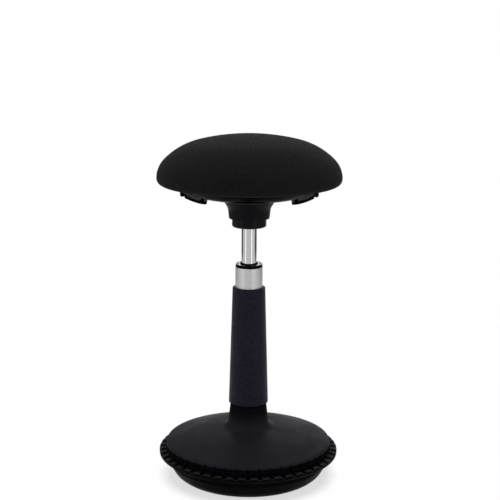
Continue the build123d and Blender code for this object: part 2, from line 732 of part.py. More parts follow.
def make_pan_screws():
    """Screws from the pan into the board, with their heads sunk in the pan."""
    screw = disc(SCREW_HEAD_RADIUS, -SCREW_HEAD, 0) + disc(SCREW_RADIUS, 0, PAN_SCREW_SEAT + PAN_SCREW_GRIP)
    return Compound([place * screw for place in pan_screw_places()])


def make_hub_shroud():
    """Flared shroud round the hub socket, held between the lip of the socket and the pan."""
    low = LIP_LOW + LIP_HEIGHT + SLIP_FIT
    web_top = low + SHROUD_WALL
    top = pan_underside(SHROUD_FLARE_RADIUS - SHROUD_WALL) - SLIP_FIT
    bore = HUB_SOCKET_RADIUS + SLIP_FIT
    outside = FilletPolyline(
        (SHROUD_RADIUS, low),
        (SHROUD_WAIST_RADIUS, low + SHROUD_WAIST_RISE),
        (SHROUD_FLARE_RADIUS, top),
        radius=SHROUD_ROUND,
    )
    inside = FilletPolyline(
        (SHROUD_RADIUS - SHROUD_WALL, web_top),
        (SHROUD_WAIST_RADIUS - SHROUD_WALL, low + SHROUD_WAIST_RISE),
        (SHROUD_FLARE_RADIUS - SHROUD_WALL, top),
        radius=SHROUD_ROUND + SHROUD_WALL,
    )
    rim = Line((SHROUD_FLARE_RADIUS, top), (SHROUD_FLARE_RADIUS - SHROUD_WALL, top))
    web = Polyline((SHROUD_RADIUS - SHROUD_WALL, web_top), (bore, web_top), (bore, low), (SHROUD_RADIUS, low))
    return turned(outside, rim, inside, web)


# Cushion


def crown_lines(inset):
    """Side of the cushion from its top to the plane of its hem: the three arcs of the crown and the limb."""
    rest = 90 - CROWN_TOP_SWEEP - CROWN_SHOULDER_SWEEP
    crown_top = CUSHION_WAIST + CROWN_HEIGHT - inset
    top = JernArc((0, crown_top), (1, 0), CROWN_TOP_RADIUS - inset, -CROWN_TOP_SWEEP)
    shoulder = JernArc(top @ 1, top % 1, CROWN_SHOULDER_RADIUS - inset, -CROWN_SHOULDER_SWEEP)
    edge = JernArc(shoulder @ 1, shoulder % 1, CROWN_EDGE_RADIUS - inset, -rest)
    limb = JernArc(edge @ 1, edge % 1, LIMB_RADIUS - inset, -90)
    return [top, shoulder, edge, limb]


def make_seat_cover():
    """Fitted fabric cover, drawn under the board to a flat hem."""
    turn = SEAT_RADIUS - LIMB_RADIUS
    hem_low = BOARD_LOW - FABRIC
    hem = Polyline((turn, hem_low), (HEM_RADIUS, hem_low), (HEM_RADIUS, BOARD_LOW), (turn, BOARD_LOW))
    crown_top = CUSHION_WAIST + CROWN_HEIGHT
    top = Line((0, crown_top - FABRIC), (0, crown_top))
    return turned(*crown_lines(0), hem, *crown_lines(FABRIC), top)


def make_seat_foam():
    """Domed foam pad over the top and the edge of the board."""
    inset = FABRIC + SOFT_GAP
    turn = SEAT_RADIUS - LIMB_RADIUS
    edge = BOARD_RADIUS + SOFT_GAP
    low = CUSHION_WAIST - LIMB_RADIUS + inset
    base = BOARD_TOP + SOFT_GAP
    crown_top = CUSHION_WAIST + CROWN_HEIGHT - inset
    seat = Polyline((turn, low), (edge, low + SOFT_GAP), (edge, base), (0, base), (0, crown_top))
    return turned(*crown_lines(inset), seat)


# Release linkage, drawn on the +X side


def make_paddle():
    """Curved paddle with its hinge knuckle and the post that lifts the rocker."""
    spine = ThreePointArc(
        (PADDLE_HINGE_X, PADDLE_HINGE_Z),
        (PADDLE_HINGE_X - PADDLE_REACH / 2, PADDLE_HINGE_Z - PADDLE_TIP_DROP / 2 - PADDLE_BOW),
        (PADDLE_HINGE_X - PADDLE_REACH, PADDLE_HINGE_Z - PADDLE_TIP_DROP),
    )
    strip = make_face(offset(spine, PADDLE_THICKNESS / 2, side=Side.BOTH))
    blade = extrude(Plane.XZ * strip, PADDLE_WIDTH / 2, both=True)
    tip_x = PADDLE_HINGE_X - PADDLE_REACH - PADDLE_THICKNESS
    shoulder_x = PADDLE_HINGE_X - KNUCKLE_RADIUS - 2 * PLAY
    half_wide = PADDLE_WIDTH / 2
    half_knuckle = KNUCKLE_LENGTH / 2
    hinge_x = PADDLE_HINGE_X + PADDLE_THICKNESS
    plan = make_face(
        Polyline(
            (hinge_x, -half_knuckle),
            (shoulder_x, -half_knuckle),
            (shoulder_x, -half_wide),
            (tip_x, -half_wide),
            (tip_x, half_wide),
            (shoulder_x, half_wide),
            (shoulder_x, half_knuckle),
            (hinge_x, half_knuckle),
            close=True,
        )
    )
    plan = fillet(plan.vertices().group_by(Axis.X)[0], PADDLE_CORNER)
    paddle = blade & Pos(0, 0, PADDLE_HINGE_Z) * extrude(plan, PADDLE_REACH, both=True)
    paddle += cross_pin(KNUCKLE_RADIUS, KNUCKLE_LENGTH, PADDLE_HINGE_X, PADDLE_HINGE_Z)
    post_round = POST_THICKNESS / 2
    post_low = PADDLE_HINGE_Z - PADDLE_TIP_DROP
    paddle += cross_pin(post_round, POST_WIDTH, POST_X, POST_TOP - post_round)
    paddle += Pos(POST_X, 0, post_low) * Box(
        POST_THICKNESS,
        POST_WIDTH,
        POST_TOP - post_round - post_low,
        align=(Align.CENTER, Align.CENTER, Align.MIN),
    )
    return paddle - cross_pin(PIN_RADIUS + RUNNING_FIT, PADDLE_WIDTH, PADDLE_HINGE_X, PADDLE_HINGE_Z)


def make_paddle_pins():
    """Pins that the paddles turn on."""
    length = KNUCKLE_LENGTH + 2 * PLAY + 2 * LUG_WIDTH
    return Compound(both_sides(cross_pin(PIN_RADIUS, length, PADDLE_HINGE_X, PADDLE_HINGE_Z)))


def make_rocker():
    """Two-armed rocker between the paddle post and the valve button."""
    half = ROCKER_DEPTH / 2
    arm = make_face(
        Polyline(
            (ROCKER_INNER_X, ROCKER_LOW),
            (ROCKER_OUTER_X, ROCKER_LOW),
            (ROCKER_OUTER_X, ROCKER_PIVOT_Z),
            (ROCKER_PIVOT_X, ROCKER_PIVOT_Z + half),
            (ROCKER_INNER_X, ROCKER_PIVOT_Z),
            close=True,
        )
    )
    rocker = extrude(Plane.XZ * arm, ROCKER_WIDTH / 2, both=True)
    rocker += cross_pin(ROCKER_BOSS_RADIUS, ROCKER_WIDTH, ROCKER_PIVOT_X, ROCKER_PIVOT_Z)
    return rocker - cross_pin(PIN_RADIUS + RUNNING_FIT, 2 * ROCKER_WIDTH, ROCKER_PIVOT_X, ROCKER_PIVOT_Z)


PADDLES = both_sides(make_paddle())
ROCKERS = both_sides(make_rocker())

PIECES = {
    "foot_tread": make_foot_tread(),
    "weight_disc": make_weight_disc(),
    "base_socket": make_base_socket(),
    "socket_bolts": make_socket_bolts(),
    "socket_washers": make_socket_washers(),
    "base_cover": make_base_cover(),
    "cover_screws": make_cover_screws(),
    "column_tube": make_column_tube(),
    "tube_end_plate": make_tube_end_plate(),
    "guide_bush": make_guide_bush(),
    "column_sleeve": make_column_sleeve(),
    "lower_race": make_race(RACE_LOW),
    "upper_race": make_race(UPPER_RACE_LOW),
    "ball_cage": make_ball_cage(),
    "bearing_balls": make_bearing_balls(),
    "piston_rod": make_piston_rod(),
    "piston": make_piston(),
    "bump_buffer": make_buffer(),
    "clip_washer": make_clip_washer(),
    "rod_clip": make_rod_clip(),
    "gas_cylinder": make_gas_cylinder(),
    "cylinder_gland": make_cylinder_gland(),
    "valve_button": make_valve_button(),
    "hub_socket": make_hub_socket(),
    "hub_shroud": make_hub_shroud(),
    "seat_plate": make_seat_plate(),
    "seat_bolts": make_seat_bolts(),
    "tee_nuts": make_tee_nuts(),
    "seat_board": make_seat_board(),
    "seat_pan": make_seat_pan(),
    "pan_screws": make_pan_screws(),
    "seat_foam": make_seat_foam(),
    "seat_cover": make_seat_cover(),
    "right_paddle": PADDLES[0],
    "left_paddle": PADDLES[1],
    "paddle_pins": make_paddle_pins(),
    "right_rocker": ROCKERS[0],
    "left_rocker": ROCKERS[1],
    "rocker_pins": make_rocker_pins(),
}

os.makedirs("parts", exist_ok=True)
for node, piece in PIECES.items():
    export_step(piece, f"parts/{node}.step")
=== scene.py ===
"""Looks of a perching stool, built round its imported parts.

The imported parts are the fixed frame. This script dresses every part that shows, makes the cushion
with its drawn-in hem, adds the stitches, the staples, the screw drives and the collar with its washer
and pegs at the mouth of the tube, and sets the studio. All sizes are in metres.
"""

import json
import logging
import math
from dataclasses import dataclass, field
from enum import Enum
from functools import lru_cache
from typing import Callable, Mapping, Optional, Sequence

import bmesh
import bpy
import numpy as np
from mathutils import Matrix, Vector


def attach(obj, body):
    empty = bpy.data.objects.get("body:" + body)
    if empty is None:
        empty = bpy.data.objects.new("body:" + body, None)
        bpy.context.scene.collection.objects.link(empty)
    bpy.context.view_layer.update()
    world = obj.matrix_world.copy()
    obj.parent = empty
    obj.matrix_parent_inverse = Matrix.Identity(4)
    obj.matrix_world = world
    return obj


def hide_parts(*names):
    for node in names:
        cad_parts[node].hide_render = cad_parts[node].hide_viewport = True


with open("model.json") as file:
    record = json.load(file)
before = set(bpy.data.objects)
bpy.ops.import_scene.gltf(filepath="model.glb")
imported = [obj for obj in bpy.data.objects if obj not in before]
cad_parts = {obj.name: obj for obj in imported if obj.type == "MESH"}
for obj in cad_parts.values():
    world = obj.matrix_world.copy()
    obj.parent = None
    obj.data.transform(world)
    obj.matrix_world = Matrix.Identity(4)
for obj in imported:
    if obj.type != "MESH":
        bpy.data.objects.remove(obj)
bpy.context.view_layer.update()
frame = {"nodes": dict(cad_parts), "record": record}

LOG = logging.getLogger("stool")
CLOTH_MAP = "cloth"
MM = 0.001
TURN = 2.0 * math.pi
TINY = 1e-9

PEG_SIDES = 20
HEAD_SIDES = 24
HEAD_TAPER = 0.86
DRIVE_DEPTH = 1.5
THREAD_FLATNESS = 0.6

Colour = tuple[float, float, float]
Place = tuple[float, float, float]
Outline = list[tuple[float, float]]
Socket = bpy.types.NodeSocket
Sockets = Sequence[Socket]
NamedSockets = Mapping[str, Socket]
Range = tuple[float, float]

WHITE = (1.0, 1.0, 1.0, 1.0)
SHELF_DUST = (0.20, 0.19, 0.18, 1.0)
EDGE_DUST_AND_HIGHLIGHT = (0.155, 0.155, 0.155, 1.0)
FLOOR_SCUFF = (0.007, 0.0068, 0.0065, 1.0)
PAINTED_EDGE_HIGHLIGHT = (0.045, 0.044, 0.048, 1.0)
RUST = (0.11, 0.05, 0.025, 1.0)


class Slot(str, Enum):
    """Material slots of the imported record."""

    FOOT_RUBBER = "foot_rubber"
    BUFFER_RUBBER = "buffer_rubber"
    CAST_WEIGHT = "cast_weight"
    BARE_STEEL = "bare_steel"
    ZINC_STEEL = "zinc_steel"
    BLACK_STEEL = "black_steel"
    BASE_PLASTIC = "base_plastic"
    SLEEVE_PLASTIC = "sleeve_plastic"
    BUSH_PLASTIC = "bush_plastic"
    HUB_PLASTIC = "hub_plastic"
    PAN_PLASTIC = "pan_plastic"
    PADDLE_PLASTIC = "paddle_plastic"
    SILVER_TUBE = "silver_tube"
    CHROME = "chrome"
    BOARD_WOOD = "board_wood"
    SEAT_FOAM = "seat_foam"
    SEAT_FABRIC = "seat_fabric"


class Body(str, Enum):
    """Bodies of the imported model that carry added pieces."""

    SEAT = "seat"
    BASE = "base"


def rgba(colour: Colour, gain: float = 1.0) -> tuple[float, ...]:
    """Gives a colour with an alpha of 1, made lighter or darker by a gain."""
    return (*(part * gain for part in colour), 1.0)


class Graph:
    """A node tree with short ways to add nodes and to link them."""

    def __init__(self, tree: bpy.types.NodeTree) -> None:
        """Takes the shader or geometry tree that the nodes go into."""
        self.tree = tree

    def add(self, kind: str, inputs: Optional[dict] = None, **settings: object) -> bpy.types.Node:
        """Adds a node.

        Args:
            kind: Type name of the node.
            inputs: Values or sockets for its inputs, by name or index.
            settings: Properties of the node itself.

        Returns:
            The new node.
        """
        node = self.tree.nodes.new(kind)
        for name, value in settings.items():
            setattr(node, name, value)
        for key, value in (inputs or {}).items():
            self.put(node.inputs[key], value)
        return node

    def put(self, socket: Socket, value: object) -> None:
        """Fills an input.

        Args:
            socket: Input to fill.
            value: Output socket to link, or a plain value.
        """
        if isinstance(value, bpy.types.NodeSocket):
            self.tree.links.new(value, socket)
        else:
            socket.default_value = value

    def math(self, operation: str, a: object, b: object = 0.0, clamp: bool = False) -> Socket:
        """Adds a Math node and gives its result."""
        node = self.add("ShaderNodeMath", {0: a, 1: b}, operation=operation, use_clamp=clamp)
        return node.outputs[0]

    def total(self, *terms: tuple[Socket, float]) -> Socket:
        """Adds up values.

        Args:
            terms: Pairs of a value and its share.

        Returns:
            The sum of the shares.
        """
        first, *others = [self.math("MULTIPLY", value, share) for value, share in terms]
        for other in others:
            first = self.math("ADD", first, other)
        return first

    def blend(self, share: object, a: object, b: object) -> Socket:
        """Mixes two colours by the share of the second."""
        return self.add("ShaderNodeMix", {0: share, 6: a, 7: b}, data_type="RGBA").outputs[2]

    def ramp(self, value: Socket, start: float, stop: float,
             low: float = 0.0, high: float = 1.0) -> Socket:
        """Maps the range from start to stop to the range from low to high, held at its ends."""
        inputs = dict(enumerate((value, start, stop, low, high)))
        return self.add("ShaderNodeMapRange", inputs).outputs[0]

    def span(self, mask: Socket, low: float, high: float) -> Socket:
        """Maps a mask from 0..1 to a range."""
        return self.ramp(mask, 0.0, 1.0, low, high)

    def noise(self, place: Socket, scale: object, detail: float, **more: float) -> Socket:
        """Adds a noise texture and gives its value."""
        inputs = {"Vector": place, "Scale": scale, "Detail": detail, **more}
        return self.add("ShaderNodeTexNoise", inputs).outputs[0]

    def axes(self, place: Socket) -> Sockets:
        """Splits a vector into X, Y and Z."""
        return self.add("ShaderNodeSeparateXYZ", {0: place}).outputs

    def vector(self, *parts: object) -> Socket:
        """Joins X, Y and Z to a vector."""
        return self.add("ShaderNodeCombineXYZ", dict(enumerate(parts))).outputs[0]

    def length(self, place: Socket) -> Socket:
        """Gives the length of a vector."""
        return self.add("ShaderNodeVectorMath", {0: place}, operation="LENGTH").outputs["Value"]


@dataclass(frozen=True)
class Effect:
    """A shader node group for more than one finish. It takes a Vector and one value of its own."""

    name: str
    value: str
    outputs: tuple[str, ...]
    fill: Callable[[Graph, Socket, Socket], Sockets]

    def tree(self) -> bpy.types.NodeTree:
        """Gives the group, built at the first call.

        Returns:
            The group's tree.
        """
        made = bpy.data.node_groups.get(self.name)
        if made:
            return made
        made = bpy.data.node_groups.new(self.name, "ShaderNodeTree")
        made.interface.new_socket("Vector", in_out="INPUT", socket_type="NodeSocketVector")
        made.interface.new_socket(self.value, in_out="INPUT", socket_type="NodeSocketFloat")
        for label in self.outputs:
            made.interface.new_socket(label, in_out="OUTPUT", socket_type="NodeSocketFloat")
        graph = Graph(made)
        start = graph.add("NodeGroupInput").outputs
        results = self.fill(graph, start["Vector"], start[self.value])
        graph.add("NodeGroupOutput", dict(enumerate(results)))
        return made


def grain_nodes(graph: Graph, place: Socket, pitch: Socket) -> Sockets:
    """Fine grain of a textured mould, with a slow change of tone.

    Args:
        graph: Graph of the group.
        place: Coordinates.
        pitch: Distance from grain to grain.

    Returns:
        Height and tone.
    """
    scale = graph.math("DIVIDE", 1.0, pitch)
    inputs = {"Vector": place, "Scale": scale}
    cells = graph.add("ShaderNodeTexVoronoi", inputs, feature="SMOOTH_F1")
    fine = graph.noise(place, scale=graph.math("MULTIPLY", scale, 2.3), detail=2.0)
    height = graph.total((cells.outputs[0], 0.7), (fine, 0.3))
    return [height, graph.noise(place, scale=14.0, detail=3.0)]


def mark_nodes(graph: Graph, place: Socket, scale: Socket) -> Sockets:
    """Soft smears where a surface has been wiped and touched.

    Args:
        graph: Graph of the group.
        place: Coordinates.
        scale: Fineness of the smears.

    Returns:
        The mask.
    """
    wide = graph.noise(place, scale, detail=5.0, Roughness=0.6, Distortion=0.8)
    return [graph.ramp(wide, start=0.38, stop=0.68)]


def dust_nodes(graph: Graph, place: Socket, amount: Socket) -> Sockets:
    """Thin dust on faces that look up.

    Args:
        graph: Graph of the group.
        place: Coordinates.
        amount: How much dust lies there.

    Returns:
        The mask.
    """
    facing = graph.axes(graph.add("ShaderNodeNewGeometry").outputs["Normal"])[2]
    level = graph.ramp(facing, start=0.25, stop=1.0)
    specks = graph.noise(place, scale=220.0, detail=4.0)
    mottle = graph.math("MULTIPLY", specks, graph.noise(place, scale=9.0, detail=2.0))
    return [graph.math("MULTIPLY", graph.math("MULTIPLY", level, mottle), amount, clamp=True)]


def line_nodes(graph: Graph, place: Socket, pitch: Socket) -> Sockets:
    """Fine rings left by turning or polishing round the column axis.

    Args:
        graph: Graph of the group.
        place: Coordinates.
        pitch: Distance from ring to ring.

    Returns:
        Height and tone.
    """
    x, y, z = graph.axes(place)
    drift = [graph.math("MULTIPLY", side, 6.0) for side in (x, y)]
    along = graph.vector(*drift, graph.math("DIVIDE", z, pitch))
    return [graph.noise(along, scale=1.0, detail=3.0), graph.noise(along, scale=0.07, detail=2.0)]


def knit_nodes(graph: Graph, place: Socket, pitch: Socket) -> Sockets:
    """Close knit of a stretch cover: ribs one way, loops the other way, and uneven yarn.

    Args:
        graph: Graph of the group.
        place: Map of the cloth.
        pitch: Distance from rib to rib.

    Returns:
        Height, tone and wear.
    """
    x, y, _ = graph.axes(place)
    turn = graph.math("DIVIDE", math.pi, pitch)
    across = graph.math("MULTIPLY", x, turn)
    along = graph.math("MULTIPLY", y, graph.math("MULTIPLY", turn, 1.6))
    lean = graph.math("MULTIPLY", graph.math("SINE", along), 0.5)
    rib = graph.math("ABSOLUTE", graph.math("SINE", graph.math("ADD", across, lean)))
    loop = graph.math("ABSOLUTE", graph.math("COSINE", graph.math("ADD", along, rib)))
    yarn = graph.noise(place, scale=2600.0, detail=3.0)
    height = graph.total((rib, 0.5), (loop, 0.3), (yarn, 0.3))
    stretch = graph.add("ShaderNodeMapping", {"Vector": place, "Scale": (1.0, 0.3, 1.0)}).outputs[0]
    slub = graph.noise(stretch, scale=330.0, detail=5.0, Roughness=0.65)
    tone = graph.total((height, 0.4), (graph.ramp(slub, start=0.3, stop=0.7), 0.6))
    return [height, tone, graph.noise(place, scale=11.0, detail=3.0)]


GRAIN = Effect("moulded_grain", "Pitch", ("Height", "Tone"), grain_nodes)
MARKS = Effect("handling_marks", "Scale", ("Mask",), mark_nodes)
DUST = Effect("settled_dust", "Amount", ("Mask",), dust_nodes)
LINES = Effect("turned_lines", "Pitch", ("Height", "Tone"), line_nodes)
KNIT = Effect("knit", "Pitch", ("Height", "Tone", "Wear"), knit_nodes)


@dataclass(frozen=True)
class Finish:
    """What every finish has: a name, a colour, a roughness and a specular level."""

    name: str
    colour: Colour
    roughness: float = 0.5
    specular: float = 0.5

    def material(self) -> bpy.types.Material:
        """Builds the material. Each kind of finish has its own way."""
        raise NotImplementedError


class Surface(Graph):
    """The graph of one finish's material, with its shader and its Object coordinates."""

    def __init__(self, finish: Finish) -> None:
        """Starts the material.

        Args:
            finish: Finish that it shows.
        """
        self.finish = finish
        self.material = bpy.data.materials.new(finish.name)
        self.material.use_nodes = True
        super().__init__(self.material.node_tree)
        self.place = self.add("ShaderNodeTexCoord").outputs["Object"]

    def effect(self, effect: Effect, value: float, place: Optional[Socket] = None) -> Sockets:
        """Places a shared effect.

        Args:
            effect: The effect.
            value: Its own value.
            place: Coordinates that it reads, where they aren't the Object coordinates.

        Returns:
            Its outputs.
        """
        inputs = {"Vector": self.place if place is None else place, effect.value: value}
        return self.add("ShaderNodeGroup", inputs, node_tree=effect.tree()).outputs

    def shade(self, gain: float) -> tuple[float, ...]:
        """Gives the colour of the finish, made lighter or darker by a gain."""
        return rgba(self.finish.colour, gain)

    def tones(self, mask: Socket, low: float, high: float) -> Socket:
        """Mixes two shades of the colour by a mask."""
        return self.blend(mask, self.shade(low), self.shade(high))

    def gloss(self, mask: Socket, swing: float) -> Socket:
        """Lets the roughness swing both ways with a mask."""
        return self.span(mask, self.finish.roughness - swing, self.finish.roughness + swing)

    def close(self, colour: Socket, gloss: Socket, height: Socket, depth: float,
              constants: Optional[dict] = None) -> bpy.types.Material:
        """Fills the shader.

        Args:
            colour: Base colour.
            gloss: Roughness.
            height: Relief from 0 to 1.
            depth: What a relief of 1 stands for.
            constants: Plain values of the shader's other inputs, by name.

        Returns:
            The finished material.
        """
        relief = {"Strength": 1.0, "Distance": depth, "Height": height}
        normal = self.add("ShaderNodeBump", relief).outputs[0]
        inputs = {"Base Color": colour, "Roughness": gloss, "Normal": normal,
                  "Specular IOR Level": self.finish.specular, **(constants or {})}
        for label, value in inputs.items():
            self.put(self.tree.nodes["Principled BSDF"].inputs[label], value)
        return self.material


@dataclass(frozen=True)
class Band:
    """A band between two heights, for painted shade or a painted highlight: how soft its lower edge
    is and how much it covers.
    """

    low: float
    high: float
    soft: float = 2.0 * MM
    strength: float = 1.0

    def mask(self, on: Surface) -> Socket:
        """Adds the mask of the band.

        Args:
            on: Surface that it marks.

        Returns:
            The mask.
        """
        height = on.axes(on.place)[2]
        edge = min(2.0 * MM, self.soft)
        rise = on.ramp(height, self.low - self.soft, self.low + self.soft / 2, high=self.strength)
        fall = on.ramp(height, self.high - edge / 2, self.high + edge / 4, low=1.0, high=0.0)
        return on.math("MULTIPLY", rise, fall)


@dataclass(frozen=True)
class Notches:
    """Painted shade in and above the notches round a rim: their number, pitch radius, width and
    heights.
    """

    count: int
    radius: float
    width: float
    heights: Band
    edge: Range = (0.4, 0.6)

    def mask(self, on: Surface) -> Socket:
        """Adds the mask of the painted shade.

        Args:
            on: Surface that it marks.

        Returns:
            The mask.
        """
        x, y, _ = on.axes(on.place)
        turn = on.math("MULTIPLY", on.math("ARCTAN2", y, x), self.count / TURN)
        side = on.math("SUBTRACT", on.math("FRACT", on.math("ADD", turn, 0.5)), 0.5)
        off = on.math("MULTIPLY", on.math("ABSOLUTE", side), TURN * self.radius / self.count)
        inner, outer = (share * self.width for share in self.edge)
        within = on.ramp(off, inner, outer, low=1.0, high=0.0)
        return on.math("MULTIPLY", within, self.heights.mask(on))


@dataclass(frozen=True)
class MouldedPlastic(Finish):
    """Moulded plastic with the fine grain of its tool; where given, bands and notches of painted
    shade and a band of painted highlight.
    """

    pitch: float = 0.9 * MM
    depth: float = 0.04 * MM
    tone: float = 0.25
    dust: float = 0.0
    smears: float = 16.0
    gloss_swing: float = 0.08
    pit_shade: float = 0.55
    pit_share: float = 0.5
    fleck: float = 0.0
    fleck_size: float = 0.55
    fleck_edge: Range = (0.35, 0.68)
    bands: tuple[Band, ...] = ()
    painted_shade_gain: float = 0.12
    painted_shade_dull: float = 0.35
    notches: Optional[Notches] = None
    painted_notch_shade: float = 0.06
    highlight_band: Optional[Band] = None
    highlight_least: float = 0.5
    tint: Colour = (1.0, 1.0, 1.0)

    def material(self) -> bpy.types.Material:
        """Builds the material.

        Returns:
            The material.
        """
        on = Surface(self)
        height, tone = on.effect(GRAIN, self.pitch)
        marks = on.effect(MARKS, self.smears)[0]
        body = on.tones(tone, 1.0 - self.tone, 1.0 + self.tone)
        pits = on.blend(on.span(height, 0.0, self.pit_share), body, on.shade(self.pit_shade))
        colour = on.blend(on.effect(DUST, self.dust)[0], pits, SHELF_DUST)
        gloss = on.gloss(marks, self.gloss_swing)
        if self.fleck:
            fleck = on.noise(on.place, self.fleck_size / self.pitch, detail=4.0, Roughness=0.7)
            bright = on.ramp(fleck, *self.fleck_edge)
            colour = on.blend(bright, colour, on.shade(1.0 + self.fleck))
        # Painted shade: each band darkens and dulls the surface between its heights.
        for band in self.bands:
            painted_shade = band.mask(on)
            colour = on.blend(painted_shade, colour, on.shade(self.painted_shade_gain))
            dull = on.math("MULTIPLY", painted_shade, self.painted_shade_dull)
            gloss = on.math("ADD", gloss, dull, clamp=True)
        if self.notches:
            # Painted shade in and above the notches.
            colour = on.blend(self.notches.mask(on), colour, on.shade(self.painted_notch_shade))
        # Painted highlight: a light band between two heights, broken up by the smears.
        if self.highlight_band:
            painted_highlight = on.math("MULTIPLY", self.highlight_band.mask(on), on.span(marks, self.highlight_least, 1.0))
            colour = on.blend(painted_highlight, colour, PAINTED_EDGE_HIGHLIGHT)
        return on.close(colour, gloss, height, self.depth, {"Specular Tint": rgba(self.tint)})


@dataclass(frozen=True)
class Rubber(Finish):
    """Matt rubber with moulding specks, dust towards its outer edge that is also a painted highlight
    there, and scuffs near the floor.
    """

    shades: Range = (0.75, 1.3)
    pitch: float = 1.3 * MM
    depth: float = 0.06 * MM
    dust: float = 0.3
    dust_and_highlight_from: float = 0.0
    dust_and_highlight_to: float = 0.0
    smears: float = 40.0
    scuff_top: float = 16 * MM
    scuff_share: float = 0.5
    gloss_swing: float = 0.1

    def material(self) -> bpy.types.Material:
        """Builds the material.

        Returns:
            The material.
        """
        on = Surface(self)
        height, tone = on.effect(GRAIN, self.pitch)
        dust = on.effect(DUST, self.dust)[0]
        marks = on.effect(MARKS, self.smears)[0]
        x, y, z = on.axes(on.place)
        outer = on.ramp(on.length(on.vector(x, y)), self.dust_and_highlight_from, self.dust_and_highlight_to)
        low = on.ramp(z, 0.0, self.scuff_top, low=self.scuff_share, high=0.0)
        body = on.tones(tone, *self.shades)
        # Dust near the outer edge, which is also a painted highlight along the flange's edge.
        dusty_and_highlit = on.blend(on.math("MULTIPLY", dust, outer), body, EDGE_DUST_AND_HIGHLIGHT)
        colour = on.blend(on.math("MULTIPLY", low, marks), dusty_and_highlit, FLOOR_SCUFF)
        return on.close(colour, on.gloss(marks, self.gloss_swing), height, self.depth)


@dataclass(frozen=True)
class Metal(Finish):
    """Plated, painted or bare metal with fine turned lines."""

    metallic: float = 1.0
    pitch: float = 0.5 * MM
    depth: float = 0.004 * MM
    tone: float = 0.12
    smears: float = 30.0
    smear_share: float = 0.6
    gloss_swing: float = 0.05
    anisotropy: float = 0.0

    def material(self) -> bpy.types.Material:
        """Builds the material.

        Returns:
            The material.
        """
        on = Surface(self)
        height, tone = on.effect(LINES, self.pitch)
        colour = on.tones(tone, 1.0 - self.tone, 1.0 + self.tone)
        marks = on.effect(MARKS, self.smears)[0]
        uneven = on.total((marks, self.smear_share), (height, 1.0 - self.smear_share))
        return on.close(colour, on.gloss(uneven, self.gloss_swing), height, self.depth,
                        {"Metallic": self.metallic, "Anisotropic": self.anisotropy})


@dataclass(frozen=True)
class CastIron(Finish):
    """Rough cast iron with a thin skin of paint and a little rust."""

    shades: Range = (1.4, 0.6)
    pitch: float = 2.6 * MM
    depth: float = 0.25 * MM
    smears: float = 26.0
    rust: float = 0.35
    gloss_swing: float = 0.1
    metallic: float = 0.4

    def material(self) -> bpy.types.Material:
        """Builds the material.

        Returns:
            The material.
        """
        on = Surface(self)
        height, tone = on.effect(GRAIN, self.pitch)
        rusty = on.span(on.effect(MARKS, self.smears)[0], 0.0, self.rust)
        colour = on.blend(rusty, on.tones(height, *self.shades), RUST)
        return on.close(colour, on.gloss(tone, self.gloss_swing), height, self.depth,
                        {"Metallic": self.metallic})


@dataclass(frozen=True)
class Plywood(Finish):
    """Raw plywood: long grain on its faces and its plies along the edge."""

    shades: Range = (0.7, 1.2)
    ply: float = 1.5 * MM
    ply_shade: float = 0.45
    ply_share: float = 0.45
    ply_edge: Range = (-0.2, 0.2)
    grain: Place = (9.0, 120.0, 60.0)
    depth: float = 0.1 * MM
    gloss_swing: float = 0.1

    def material(self) -> bpy.types.Material:
        """Builds the material.

        Returns:
            The material.
        """
        on = Surface(self)
        stretch = on.add("ShaderNodeMapping", {"Vector": on.place, "Scale": self.grain}).outputs[0]
        grain = on.noise(stretch, scale=1.0, detail=6.0, Distortion=0.6)
        layer = on.math("SINE", on.math("MULTIPLY", on.axes(on.place)[2], math.pi / self.ply))
        plies = on.ramp(layer, *self.ply_edge, high=self.ply_share)
        colour = on.blend(plies, on.tones(grain, *self.shades), on.shade(self.ply_shade))
        return on.close(colour, on.gloss(grain, self.gloss_swing), grain, self.depth)


@dataclass(frozen=True)
class KnitFabric(Finish):
    """Close black knit, laid on the cushion by its own map."""

    pitch: float = 1.7 * MM
    depth: float = 0.35 * MM
    tone: float = 0.5
    wear: float = 0.35
    wear_shade: float = 1.5
    gloss_swing: float = -0.08
    sheen: float = 0.3
    sheen_roughness: float = 0.45

    def material(self) -> bpy.types.Material:
        """Builds the material.

        Returns:
            The material.
        """
        on = Surface(self)
        laid = on.add("ShaderNodeUVMap", uv_map=CLOTH_MAP).outputs[0]
        height, tone, wear = on.effect(KNIT, self.pitch, laid)
        body = on.tones(tone, 1.0 - self.tone, 1.0 + self.tone)
        colour = on.blend(on.span(wear, 0.0, self.wear), body, on.shade(self.wear_shade))
        return on.close(colour, on.gloss(height, self.gloss_swing), height, self.depth,
                        {"Sheen Weight": self.sheen, "Sheen Roughness": self.sheen_roughness})


